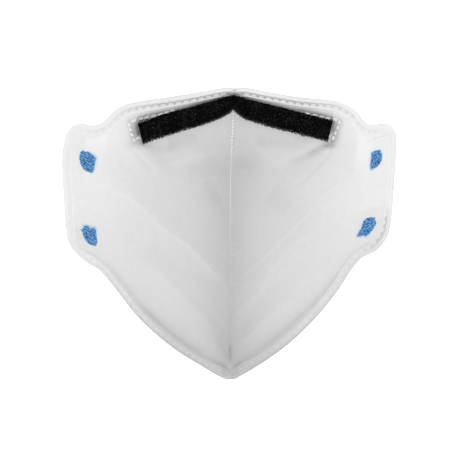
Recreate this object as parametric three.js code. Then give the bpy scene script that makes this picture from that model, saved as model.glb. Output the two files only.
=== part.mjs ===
// Disposable respirator with a vertical front fold, opened out and lying on its outer side.
//
// Frame, in millimetres: +X across the face, +Y from the chin to the nose, +Z from the front
// fold towards the wearer. The two slack headbands lie on the ground plane z = 0, and the
// front fold rests across them, so the hollow for the face is open upwards.

import * as THREE from 'three';
import { mergeVertices } from 'three/addons/utils/BufferGeometryUtils.js';

// Driving sizes.
const CLEARANCE = 0.3;

const SHELL = {
  wall: 1.6, // layers of the laminate, loose
  rimWall: 1.1, // the same layers pressed together in the edge weld
  weldWidth: 6.4, // width of the edge weld
  chinMitre: 7.4, // width of the edge weld where it turns at the chin
  steepest: 1.7, // largest ratio of upright to true wall thickness
};

const FOAM = {
  thickness: 2.4,
  seat: 0.7, // height above the inner face, enough to clear it where it is hollow
  step: 5,
  across: 4,
};

const BAND = {
  width: 11.6,
  thickness: 1,
  endHalfX: 4.1, // welded oval end, half its size across the face
  endHalfY: 5.2, // and half its size along the face
  endProud: 0.4, // height of the welded end above the inner face
  onWall: 6.5, // length that lies flat under the lobe, each way from the end's middle
  landing: 36, // distance from the fold at which the band has come down to the ground
  stiffReach: 14, // how far the band keeps its direction where it leaves the lobe
  slackReach: 34, // how far the slack bulges outwards above the landing
  wallGap: 0.6, // gap between the band and the outer face of the lobe
  wallSteps: 4,
  dropSteps: 14,
};

// The seam and the fold lean to the right above the middle of the face.
const SEAM = { middleX: 0.4, lean: 2.6, leansFrom: 8, leansOver: 67 };

// The rolled lip along the lower edges: the wall turns up steeply just inside the weld,
// and the weld itself lies flatter than the wall.
const LIP = { rise: 5.5, width: 5, flatness: 0.35, begins: -8, full: -42 };

const GRID = {
  stations: 64,
  weldColumns: 2,
  wallColumns: 11,
  crowding: 1.3, // above 1 the columns are closer near the weld
  endTurn: 12, // length of rim over which the rows turn to run along the seam
  slopeStep: 0.4, // step for measuring the slope of the inner face
  ovalSides: 24,
  ovalMargin: 0.3, // least width of sheet kept round an oval before it meets the grid
};

// The rim from the nose to the chin: left x, left y, right x, right y.
const RIM = [
  [3, 74.8, 3, 74.8],
  [-3, 74.9, 9, 74.9],
  [-13.9, 72.9, 18.9, 72.9],
  [-29.4, 70.2, 32.9, 70.3],
  [-45.5, 67.7, 47.9, 68.6],
  [-53, 66, 55.9, 67.3],
  [-57.8, 63.3, 60.9, 64.9],
  [-61.5, 60, 65.4, 61.6],
  [-64.7, 57, 68.6, 57.4],
  [-69.5, 55.2, 72.5, 55.3],
  [-76, 56.1, 78, 56.2],
  [-81.4, 53.2, 82.9, 54.2],
  [-83.9, 47.4, 84.8, 50],
  [-85.1, 38, 84.8, 43],
  [-84.4, 22, 83.8, 27],
  [-83, 2.5, 81.5, 3],
  [-82, -3.5, 79.5, -2.8],
  [-78.5, -9.3, 74.6, -8.5],
  [-72, -14.8, 67.3, -12.4],
  [-66, -18.7, 62.5, -17.8],
  [-58, -28.2, 55.8, -28.2],
  [-46.1, -43.3, 43.6, -43.6],
  [-29.5, -58.3, 28.4, -58.3],
  [-13, -69.2, 13.5, -69],
  [-5.5, -73.8, 6.3, -73.4],
  [-2.4, -75, 3.2, -75],
  [0.5, -75.4, 0.5, -75.4],
];

// Cross sections of the inner face: y, height of the fold, slope beside the fold,
// slope out at the edge, distance over which one slope passes into the other.
const SECTIONS = [
  [-76, 15, 1.1, 0.42, 7],
  [-62, 6.8, 1.3, 0.48, 11],
  [-50, 3.8, 1.25, 0.46, 18],
  [-30, 3.1, 1.2, 0.44, 26],
  [0, 3.1, 1.2, 0.42, 29],
  [28, 3.1, 1.2, 0.41, 29],
  [40, 3.6, 1.15, 0.4, 27],
  [47, 7.3, 1.05, 0.38, 24],
  [56, 15.2, 0.9, 0.36, 20],
  [66, 23.8, 0.7, 0.33, 15],
  [76, 31.8, 0.5, 0.3, 12],
];

// Soft diagonal folds of the panels: from x, from y, to x, to y, height, half-width.
// They fade out over FOLD_FADE beside the front fold.
const FOLD_FADE = 6;
const FOLDS = [
  [-67, 34, -4, -21, 1.1, 5],
  [-38, -6, -3, -31, -0.9, 5],
  [-42, -15, -2, -59, 1.1, 5],
  [61, 27, 5, -31, 1.1, 5],
  [46, 3, 3, -43, 0.9, 4.5],
  [35, -15, 2, -50, -0.9, 4.5],
  [29, -36, 3, -59, 0.8, 4],
  [52, 45, 27, 33.5, -1.3, 5],
  [-48, 42, -34, 33, 0.9, 4],
];

// Long edges of the nose foam from left to right: top x, top y, bottom x, bottom y.
const FOAM_EDGES = [
  [-47, 56.3, -44.5, 46],
  [-33.5, 61.2, -30.9, 50.4],
  [-13.6, 66.8, -11, 56.8],
  [-0.8, 70.6, 0, 61.8],
  [2.8, 71.2, 2, 63.7],
  [9.9, 68.9, 7.7, 59.1],
  [22.1, 65.9, 19.5, 55.1],
  [37, 62.1, 34.4, 51.3],
  [52.8, 57.6, 50.3, 47],
];

// Middles of the welded band ends: left x, left y, right x, right y.
const BAND_ENDS = {
  headband_upper: [-72.5, 36.5, 74.5, 37.5],
  headband_lower: [-71, -0.5, 70, 3.5],
};

const { clamp, lerp, smoothstep } = THREE.MathUtils;

// Shape of the inner face.

const sectionCurve = new THREE.CubicInterpolant(
  SECTIONS.map(([y]) => y),
  SECTIONS.flatMap(([, ...values]) => values),
  4,
);

function foldX(y) {
  const lean = Math.max(0, (y - SEAM.leansFrom) / SEAM.leansOver);
  return SEAM.middleX + SEAM.lean * lean ** 2;
}

function distanceToSegment(x, y, x1, y1, x2, y2) {
  const along = ((x - x1) * (x2 - x1) + (y - y1) * (y2 - y1)) / ((x2 - x1) ** 2 + (y2 - y1) ** 2);
  const t = clamp(along, 0, 1);
  return Math.hypot(x - lerp(x1, x2, t), y - lerp(y1, y2, t));
}

function foldRelief(x, y) {
  let relief = 0;
  for (const [x1, y1, x2, y2, height, halfWidth] of FOLDS) {
    relief += height * Math.exp(-((distanceToSegment(x, y, x1, y1, x2, y2) / halfWidth) ** 2));
  }
  return relief;
}

function innerZ(x, y) {
  const [keel, steep, shallow, blend] = sectionCurve.evaluate(y);
  const u = Math.abs(x - foldX(y));
  const rise = shallow * u + (steep - shallow) * blend * (1 - Math.exp(-u / blend));
  return keel + rise + foldRelief(x, y) * (1 - Math.exp(-u / FOLD_FADE));
}

function uprightThickness(x, y, wall) {
  const step = GRID.slopeStep;
  const gx = (innerZ(x + step, y) - innerZ(x - step, y)) / (2 * step);
  const gy = (innerZ(x, y + step) - innerZ(x, y - step)) / (2 * step);
  return wall * Math.min(SHELL.steepest, Math.hypot(1, gx, gy));
}

function outerZ(x, y) {
  return innerZ(x, y) - uprightThickness(x, y, SHELL.wall);
}

// Closed solids from rows and rings of points.

function finish(positions, triangles) {
  const raw = new THREE.BufferGeometry();
  raw.setAttribute('position', new THREE.Float32BufferAttribute(positions.flat(), 3));
  raw.setIndex(triangles.flat());
  const merged = mergeVertices(raw, 1e-4);
  const kept = [];
  const index = merged.getIndex().array;
  for (let i = 0; i < index.length; i += 3) {
    const [a, b, c] = [index[i], index[i + 1], index[i + 2]];
    if (a !== b && b !== c && c !== a) kept.push(a, b, c);
  }
  merged.setIndex(kept);
  merged.computeVertexNormals();
  return merged;
}

// The block of grid cells that an oval touches, as [first row, last row, first column,
// last column] of their corners.
function blockRound(sheet, ring) {
  const xs = ring.map(([x]) => x);
  const ys = ring.map(([, y]) => y);
  const block = [Infinity, -Infinity, Infinity, -Infinity];
  for (let r = 0; r < sheet.length - 1; r += 1) {
    for (let c = 0; c < sheet[0].length - 1; c += 1) {
      const cell = [sheet[r][c], sheet[r][c + 1], sheet[r + 1][c], sheet[r + 1][c + 1]];
      const overlaps = [xs, ys].every((values, axis) => {
        const cellValues = cell.map((corner) => corner[axis]);
        return Math.max(...cellValues) > Math.min(...values) - GRID.ovalMargin
          && Math.min(...cellValues) < Math.max(...values) + GRID.ovalMargin;
      });
      if (overlaps) {
        block[0] = Math.min(block[0], r);
        block[1] = Math.max(block[1], r + 1);
        block[2] = Math.min(block[2], c);
        block[3] = Math.max(block[3], c + 1);
      }
    }
  }
  return block;
}

// Grid corners round a block, in order.
function blockBorder([r0, r1, c0, c1]) {
  const border = [];
  for (let r = r0; r < r1; r += 1) border.push([r, c0]);
  for (let c = c0; c < c1; c += 1) border.push([r1, c]);
  for (let r = r1; r > r0; r -= 1) border.push([r, c1]);
  for (let c = c1; c > c0; c -= 1) border.push([r0, c]);
  return border;
}

function ovalRing([cx, cy], halfX, halfY) {
  const ring = [];
  for (let i = 0; i < GRID.ovalSides; i += 1) {
    const angle = (i / GRID.ovalSides) * 2 * Math.PI;
    ring.push([cx + halfX * Math.cos(angle), cy + halfY * Math.sin(angle)]);
  }
  return ring;
}

// Two sheets of equal rows, joined round their border. Rows run so that the first sheet
// faces up. Each oval is a ring in plan: with under it is a hole from the height top to
// the height under, and with boss it is a boss from the height top up to the height boss.
function sheetSolid(upper, lower, ovals = []) {
  const rows = upper.length;
  const columns = upper[0].length;
  const positions = [...upper.flat(), ...lower.flat()];
  const triangles = [];
  const top = (r, c) => r * columns + c;
  const below = (r, c) => rows * columns + top(r, c);
  const skipUpper = new Set();
  const skipLower = new Set();

  const addRing = (ring, zOf) => {
    const first = positions.length;
    ring.forEach(([x, y]) => positions.push([x, y, zOf(x, y)]));
    return ring.map((_, i) => first + i);
  };
  // Fills the space between two loops round the same middle, each seen whole from it.
  const fillBetween = (outside, inside, [mx, my], facesUp) => {
    const angle = (i) => Math.atan2(positions[i][1] - my, positions[i][0] - mx);
    const steps = [
      ...outside.map((i) => ({ i, isOutside: true, angle: angle(i) })),
      ...inside.map((i) => ({ i, isOutside: false, angle: angle(i) })),
    ].sort((p, q) => p.angle - q.angle);
    let a = steps.findLast((step) => step.isOutside).i;
    let b = steps.findLast((step) => !step.isOutside).i;
    for (const { i, isOutside } of steps) {
      const face = isOutside ? [b, a, i] : [a, i, b];
      triangles.push(facesUp ? face : face.reverse());
      if (isOutside) a = i;
      else b = i;
    }
  };
  // A wall between two rings. The first ring is the higher one, and the wall faces inwards
  // for a hole and outwards for a boss.
  const wallBetween = (high, low, facesIn) => {
    high.forEach((_, i) => {
      const n = (i + 1) % high.length;
      const quad = [[high[i], low[i], high[n]], [low[i], low[n], high[n]]];
      quad.forEach((face) => triangles.push(facesIn ? face.reverse() : face));
    });
  };

  for (const { middle, ring, zTop, zUnder, zBoss } of ovals) {
    const block = blockRound(upper, ring);
    const border = blockBorder(block);
    for (let r = block[0]; r < block[1]; r += 1) {
      for (let c = block[2]; c < block[3]; c += 1) {
        skipUpper.add(top(r, c));
        if (zUnder) skipLower.add(top(r, c));
      }
    }
    const topRing = addRing(ring, zTop);
    fillBetween(border.map(([r, c]) => top(r, c)), topRing, middle, true);
    if (zUnder) {
      const underRing = addRing(ring, zUnder);
      fillBetween(border.map(([r, c]) => below(r, c)), underRing, middle, false);
      wallBetween(topRing, underRing, true);
    } else {
      const bossRing = addRing(ring, zBoss);
      wallBetween(bossRing, topRing, false);
      const [centre] = addRing([middle], zBoss);
      bossRing.forEach((a, i) => triangles.push([a, bossRing[(i + 1) % ring.length], centre]));
    }
  }
  for (let r = 0; r < rows - 1; r += 1) {
    for (let c = 0; c < columns - 1; c += 1) {
      if (!skipUpper.has(top(r, c))) {
        triangles.push([top(r, c), top(r + 1, c), top(r, c + 1)]);
        triangles.push([top(r + 1, c), top(r + 1, c + 1), top(r, c + 1)]);
      }
      if (!skipLower.has(top(r, c))) {
        triangles.push([below(r, c), below(r, c + 1), below(r + 1, c)]);
        triangles.push([below(r + 1, c), below(r, c + 1), below(r + 1, c + 1)]);
      }
    }
  }
  const border = blockBorder([0, rows - 1, 0, columns - 1]);
  border.forEach(([r, c], i) => {
    const [nextR, nextC] = border[(i + 1) % border.length];
    triangles.push([top(r, c), below(r, c), top(nextR, nextC)]);
    triangles.push([below(r, c), below(nextR, nextC), top(nextR, nextC)]);
  });
  return finish(positions, triangles);
}

// Filter shell.

// Rim stations of one side, each with the inner edge of the weld and its foot on the fold.
function rimStations(side) {
  const column = side < 0 ? 0 : 2;
  const points = RIM.map((row) => new THREE.Vector3(row[column], row[column + 1], 0));
  const curve = new THREE.CatmullRomCurve3(points, false, 'centripetal');
  const length = curve.getLength();
  const outer = curve.getSpacedPoints(GRID.stations);
  const foldTop = RIM[0][1] - SHELL.weldWidth;
  const foldBottom = RIM.at(-1)[1] + SHELL.chinMitre;
  return outer.map((rim, i) => {
    const fraction = i / GRID.stations;
    const tangent = curve.getTangentAt(fraction);
    const inward = new THREE.Vector3(tangent.y * side, -tangent.x * side, 0);
    const alongFold = new THREE.Vector3(0, fraction < 0.5 ? -1 : 1, 0);
    const fromEnd = Math.min(fraction, 1 - fraction) * length;
    const turn = Math.max(0, 1 - fromEnd / GRID.endTurn) ** 2;
    const direction = inward.clone().lerp(alongFold, turn).normalize();
    const reach = SHELL.weldWidth / direction.dot(inward);
    const weld = rim.clone().addScaledVector(direction, reach);
    const foldY = lerp(foldTop, foldBottom, fraction);
    const foot = new THREE.Vector3(foldX(foldY), foldY, 0);
    if (i === 0 || i === GRID.stations) weld.copy(foot);
    return { rim, weld, foot };
  });
}

// One row of inner and outer points, from the rim to the fold.
function shellRow({ rim, weld, foot }) {
  const upper = [];
  const lower = [];
  const lip = smoothstep(-rim.y, -LIP.begins, -LIP.full);
  const weldZ = innerZ(weld.x, weld.y);
  const add = (x, y, z, wall) => {
    upper.push([x, y, z]);
    lower.push([x, y, z - uprightThickness(x, y, wall)]);
  };
  for (let c = 0; c <= GRID.weldColumns; c += 1) {
    const t = c / GRID.weldColumns;
    const x = lerp(rim.x, weld.x, t);
    const y = lerp(rim.y, weld.y, t);
    const flat = lerp(1, LIP.flatness, lip);
    const z = weldZ + flat * (innerZ(x, y) - weldZ) + LIP.rise * lip;
    add(x, y, z, lerp(SHELL.rimWall, SHELL.wall, t));
  }
  for (let c = 1; c <= GRID.wallColumns; c += 1) {
    const t = (c / GRID.wallColumns) ** GRID.crowding;
    const x = lerp(weld.x, foot.x, t);
    const y = lerp(weld.y, foot.y, t);
    const inside = t * weld.distanceTo(foot);
    const roll = 1 - smoothstep(inside, 0, LIP.width);
    add(x, y, innerZ(x, y) + LIP.rise * lip * roll, SHELL.wall);
  }
  return { upper, lower };
}

function filterShell() {
  const left = rimStations(-1).map(shellRow);
  const right = rimStations(1).map(shellRow);
  const join = (key) => left.map((row, i) => [
    ...row[key],
    ...right[i][key].slice(0, -1).reverse(),
  ]);
  const middles = Object.values(BAND_ENDS).flatMap(([xl, yl, xr, yr]) => [[xl, yl], [xr, yr]]);
  const holes = middles.map((middle) => ({
    middle,
    ring: ovalRing(middle, BAND.endHalfX + CLEARANCE, BAND.endHalfY + CLEARANCE),
    zTop: innerZ,
    zUnder: outerZ,
  }));
  return sheetSolid(join('upper'), join('lower'), holes);
}

// Nose foam.

function noseFoam() {
  const upper = [];
  const lower = [];
  const addRow = ([xt, yt, xb, yb]) => {
    const top = [];
    const under = [];
    for (let c = 0; c <= FOAM.across; c += 1) {
      const t = c / FOAM.across;
      const x = lerp(xb, xt, t);
      const y = lerp(yb, yt, t);
      const seat = innerZ(x, y) + FOAM.seat;
      under.push([x, y, seat]);
      top.push([x, y, seat + uprightThickness(x, y, FOAM.thickness)]);
    }
    upper.push(top);
    lower.push(under);
  };
  for (let i = 0; i < FOAM_EDGES.length - 1; i += 1) {
    const from = FOAM_EDGES[i];
    const to = FOAM_EDGES[i + 1];
    const steps = Math.ceil((to[0] - from[0]) / FOAM.step);
    for (let s = 0; s < steps; s += 1) {
      addRow(from.map((value, k) => lerp(value, to[k], s / steps)));
    }
  }
  addRow(FOAM_EDGES.at(-1));
  return sheetSolid(upper, lower);
}

// Headbands.

// Rows of a band's lower face on one side, from its welded end to where it has landed:
// each row holds the two edges of the band.
function bandSide(side, [endX, endY]) {
  const rows = [];
  const underWall = (x, y) => outerZ(x, y) - BAND.wallGap - BAND.thickness;
  const outsideX = endX + side * BAND.onWall;
  const insideX = endX - side * BAND.onWall;
  const edges = (x, zOf) => [-1, 1].map((edge) => {
    const y = endY + (edge * BAND.width) / 2;
    return [x, y, zOf(y)];
  });
  for (let s = 0; s <= BAND.wallSteps; s += 1) {
    const x = lerp(outsideX, insideX, s / BAND.wallSteps);
    rows.push(edges(x, (y) => underWall(x, y)));
  }
  const leaves = underWall(insideX, endY);
  const slope = underWall(insideX + side, endY) - leaves;
  const drop = new THREE.CubicBezierCurve(
    new THREE.Vector2(Math.abs(insideX), leaves),
    new THREE.Vector2(Math.abs(insideX) - BAND.stiffReach, leaves - BAND.stiffReach * slope),
    new THREE.Vector2(BAND.landing + BAND.slackReach, 0),
    new THREE.Vector2(BAND.landing, 0),
  );
  for (let s = 1; s <= BAND.dropSteps; s += 1) {
    const t = s / BAND.dropSteps;
    const { x, y: z } = drop.getPoint(t);
    const twist = (1 - t) ** 2;
    rows.push(edges(side * x, (y) => z + twist * (underWall(insideX, y) - leaves)));
  }
  return rows;
}

function headband([xl, yl, xr, yr]) {
  const lower = [...bandSide(-1, [xl, yl]), ...bandSide(1, [xr, yr]).reverse()];
  const upper = lower.map((row, i) => {
    const before = lower[Math.max(0, i - 1)];
    const after = lower[Math.min(lower.length - 1, i + 1)];
    return row.map(([x, y, z], edge) => {
      const dx = after[edge][0] - before[edge][0];
      const dz = after[edge][2] - before[edge][2];
      const length = Math.hypot(dx, dz);
      return [x - (BAND.thickness * dz) / length, y, z + (BAND.thickness * dx) / length];
    });
  });
  const ends = [[xl, yl], [xr, yr]].map((middle) => ({
    middle,
    ring: ovalRing(middle, BAND.endHalfX, BAND.endHalfY),
    zTop: (x, y) => outerZ(x, y) - BAND.wallGap,
    zBoss: (x, y) => innerZ(x, y) + BAND.endProud,
  }));
  return sheetSolid(upper, lower, ends);
}

// Assembly.

const laminate = new THREE.MeshStandardMaterial({ color: 0xeef0f1, roughness: 0.95, metalness: 0 });
const blackFoam = new THREE.MeshStandardMaterial({ color: 0x101011, roughness: 1, metalness: 0 });
const blueElastic = new THREE.MeshStandardMaterial({ color: 0x3f86c4, roughness: 0.85, metalness: 0 });

function piece(name, geometry, material) {
  const mesh = new THREE.Mesh(geometry, material);
  mesh.name = name;
  return mesh;
}

const group = new THREE.Group();
group.add(piece('filter_shell', filterShell(), laminate));
group.add(piece('nose_foam', noseFoam(), blackFoam));
for (const [name, ends] of Object.entries(BAND_ENDS)) {
  group.add(piece(name, headband(ends), blueElastic));
}

export default group;
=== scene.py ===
"""Disposable respirator with a vertical front fold, opened out and lying on its outer side.

It builds the fabric shell, its welded seams, the nose foam and the two headbands on the
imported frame, then the stage.
"""

import math
from functools import partial

import bpy
import numpy as np
from bpy.props import FloatProperty, FloatVectorProperty, IntProperty, PointerProperty
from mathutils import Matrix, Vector, noise


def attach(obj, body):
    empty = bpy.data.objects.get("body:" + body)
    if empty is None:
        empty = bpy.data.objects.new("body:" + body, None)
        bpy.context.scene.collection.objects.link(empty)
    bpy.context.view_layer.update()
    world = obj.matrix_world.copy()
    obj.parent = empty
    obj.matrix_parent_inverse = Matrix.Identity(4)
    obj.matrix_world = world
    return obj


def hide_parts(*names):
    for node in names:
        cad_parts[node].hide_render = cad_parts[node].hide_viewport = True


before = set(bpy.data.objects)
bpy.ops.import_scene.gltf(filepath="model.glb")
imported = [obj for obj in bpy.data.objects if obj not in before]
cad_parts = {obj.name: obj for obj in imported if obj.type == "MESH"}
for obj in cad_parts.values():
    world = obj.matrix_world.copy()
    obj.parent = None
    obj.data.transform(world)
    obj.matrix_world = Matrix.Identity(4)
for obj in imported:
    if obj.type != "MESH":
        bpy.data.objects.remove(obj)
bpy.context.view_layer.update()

bl_info = {
    "name": "Disposable respirator",
    "version": (1, 0, 0),
    "blender": (4, 5, 0),
    "location": "View3D > Sidebar > Respirator",
    "description": "Builds the soft pieces of a disposable respirator on its frame",
    "category": "Object",
}

MM = 0.001
WHITE = (1, 1, 1, 1)

# The rim from the nose to the chin, in millimetres: left x, left y, right x, right y.
RIM = np.array([
    [3, 74.8, 3, 74.8],
    [-3, 74.9, 9, 74.9],
    [-13.9, 72.9, 18.9, 72.9],
    [-29.4, 70.2, 32.9, 70.3],
    [-45.5, 67.7, 47.9, 68.6],
    [-53, 66, 55.9, 67.3],
    [-57.8, 63.3, 60.9, 64.9],
    [-61.5, 60, 65.4, 61.6],
    [-64.7, 57, 68.6, 57.4],
    [-69.5, 55.2, 72.5, 55.3],
    [-76, 56.1, 78, 56.2],
    [-81.4, 53.2, 82.9, 54.2],
    [-83.9, 47.4, 84.8, 50],
    [-85.1, 38, 84.8, 43],
    [-84.4, 22, 83.8, 27],
    [-83, 2.5, 81.5, 3],
    [-82, -3.5, 79.5, -2.8],
    [-78.5, -9.3, 74.6, -8.5],
    [-72, -14.8, 67.3, -12.4],
    [-66, -18.7, 62.5, -17.8],
    [-58, -28.2, 55.8, -28.2],
    [-46.1, -43.3, 43.6, -43.6],
    [-29.5, -58.3, 28.4, -58.3],
    [-13, -69.2, 13.5, -69],
    [-5.5, -73.8, 6.3, -73.4],
    [-2.4, -75.2, 3.2, -75.2],
    [0.5, -75.7, 0.5, -75.7],
], float)

# Cross sections of the inner face: y, height of the fold, slope beside the fold,
# slope out at the edge, distance over which one slope passes into the other.
SECTIONS = np.array([
    [-76, 15, 1.1, 0.42, 7],
    [-62, 6.8, 1.3, 0.48, 11],
    [-50, 3.8, 1.25, 0.46, 18],
    [-30, 3.1, 1.2, 0.44, 26],
    [0, 3.1, 1.2, 0.42, 29],
    [28, 3.1, 1.2, 0.41, 29],
    [40, 3.6, 1.15, 0.4, 27],
    [47, 7.3, 1.05, 0.38, 24],
    [56, 15.2, 0.9, 0.36, 20],
    [66, 23.8, 0.7, 0.33, 15],
    [76, 31.8, 0.5, 0.3, 12],
], float)

# Soft diagonal folds of the panels: x, y at one end, x, y at the other, height, half-width.
FOLDS = [
    (-67, 34, -4, -21, 1.1, 5),
    (-38, -6, -3, -31, -0.9, 5),
    (-42, -15, -2, -59, 1.1, 5),
    (61, 27, 5, -31, 1.1, 5),
    (46, 3, 3, -43, 0.9, 4.5),
    (35, -15, 2, -50, -0.9, 4.5),
    (29, -36, 3, -59, 0.8, 4),
    (52, 45, 27, 33.5, -1.3, 5),
    (-48, 42, -34, 33, 0.9, 4),
    (6, 38, 8, 14, 0.4, 5),
    (-4.5, 14, -4, 4, 0.8, 3),
    (-5, -60, -4, -64, 0.8, 4),
    (6, -60, 5, -64, 0.8, 4),
]

# Finer creases along and between the soft folds: height, half-width, the painted highlight
# along the crease (below 0 painted shade), then the points.
CREASES = [
    (0.18, 0.8, 0.15, [(-68, 27), (-52, 18.7), (-44.7, 13.6), (-39.6, 8.5), (-36, 3.9),
                       (-27.8, -1.7), (-19.2, -7.8), (-7.4, -21), (-2, -29)]),
    (0.2, 1.3, 0.05, [(-41.6, -14.6), (-24, -32.4), (-10, -47), (-2, -57)]),
    (0.18, 0.8, 0.15, [(66.2, 33.2), (59, 27.4), (48.8, 20.3), (41.5, 11.6), (34.2, 4.1),
                       (26.8, -3.2), (19.7, -10.4), (5, -24)]),
    (0.22, 1.3, 0.05, [(46, 3), (33, -4.5), (23, -16), (14, -31), (2.8, -42.5)]),
    (0.2, 1.3, 0.05, [(29, -36), (17, -45), (2.8, -59)]),
    (-0.2, 1.6, 0, [(-30, -18.4), (-20, -31), (-2.3, -49)]),
    (-0.3, 1.3, 0, [(-59, 47.5), (-54, 37), (-49, 31)]),
    (0.1, 0.8, 0.04, [(-48.4, 45.4), (-45, 41.2), (-41.1, 36.9), (-36, 33.5)]),
    (-0.4, 1.3, -0.12, [(-50, 44), (-45.5, 38), (-40, 33)]),
    (-1.0, 2.6, -0.15, [(-44, 46), (-36, 44), (-28, 45)]),
    (-0.2, 4, -0.22, [(-33, 46), (-15, 50)]),
    (0.3, 1.6, 0.12, [(-34, 34.6), (-17.6, 39.8), (-1.6, 44.3)]),
    (-0.25, 4, -0.04, [(-22, 33.5), (-8, 36.5)]),
    (-0.45, 3.2, -0.08, [(-11, 29), (-8, 21), (-5, 15)]),
    (0.12, 0.8, 0.1, [(-10, 33.5), (-6, 27), (-2.5, 16), (-1.5, 8)]),
    (0.15, 1, 0.1, [(1, 46.4), (12.3, 46.4), (17.4, 42), (22.5, 37), (28.4, 31), (35, 27)]),
    (0.15, 1, 0.08, [(22.5, 37), (31, 40), (38.6, 43.5)]),
    (-1.2, 1.8, -0.4, [(54.5, 46.6), (49, 45.2), (45.4, 43.2), (41.3, 40.8)]),
    (-0.5, 1.8, -0.2, [(44, 42), (39, 39.4), (32, 37.2)]),
    (-0.25, 0.7, -0.12, [(52.3, 46), (52.2, 42), (49.8, 38.1), (45.4, 33.6), (35.1, 23.9)]),
    (-0.2, 4, -0.22, [(12, 49), (36, 45)]),
    (-0.3, 4, -0.05, [(2, 38.5), (12, 38)]),
    (-0.2, 7, -0.14, [(20, 22), (32, 13)]),
    (0.5, 4, 0.1, [(5.5, 36), (4.5, 12)]),
    (-0.18, 1.1, -0.05, [(21.8, -26.7), (18, -31)]),
    # Rows of height 0 are painted light and shade alone: painted highlight on the upper lobes and
    # at the chin's corner, painted shade elsewhere, along the lips and the fold above the chin.
    (0, 12, 0.8, [(-74, 47), (-62, 46)]),
    (0, 11, 0.8, [(64, 43), (74, 42)]),
    (0, 5, -0.12, [(32, 46.5), (41, 44.5)]),
    (0, 7, -0.08, [(-77, 4), (-76, -6)]),
    (0, 8, -0.07, [(72, 14), (76, 0)]),
    (0, 0.9, -0.2, [(0.4, -57.5), (0.4, -69)]),
    (0, 1.5, -0.1, [(-8, -50), (-0.5, -66)]),
    (0, 1.6, 0.4, [(0.4, -71.5), (0.4, -68.5)]),
    (0, 1.0, -0.24, [(-45.7, -36.1), (-38, -44.4), (-29.3, -52), (-20.1, -58.8), (-15.1, -62)]),
    (0, 1.1, -0.12, [(39.3, -38.9), (31.3, -47.2), (22.8, -54.7), (14, -61)]),
    (-0.25, 0.7, -0.5, [(-48, 58.6), (-46.3, 59.3), (-40.3, 61.1), (-32.2, 62.7), (-27, 63.9)]),
    (-0.15, 0.7, -0.35, [(34, 63.7), (42.4, 61.9), (52.2, 59.3)]),
]
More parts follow.
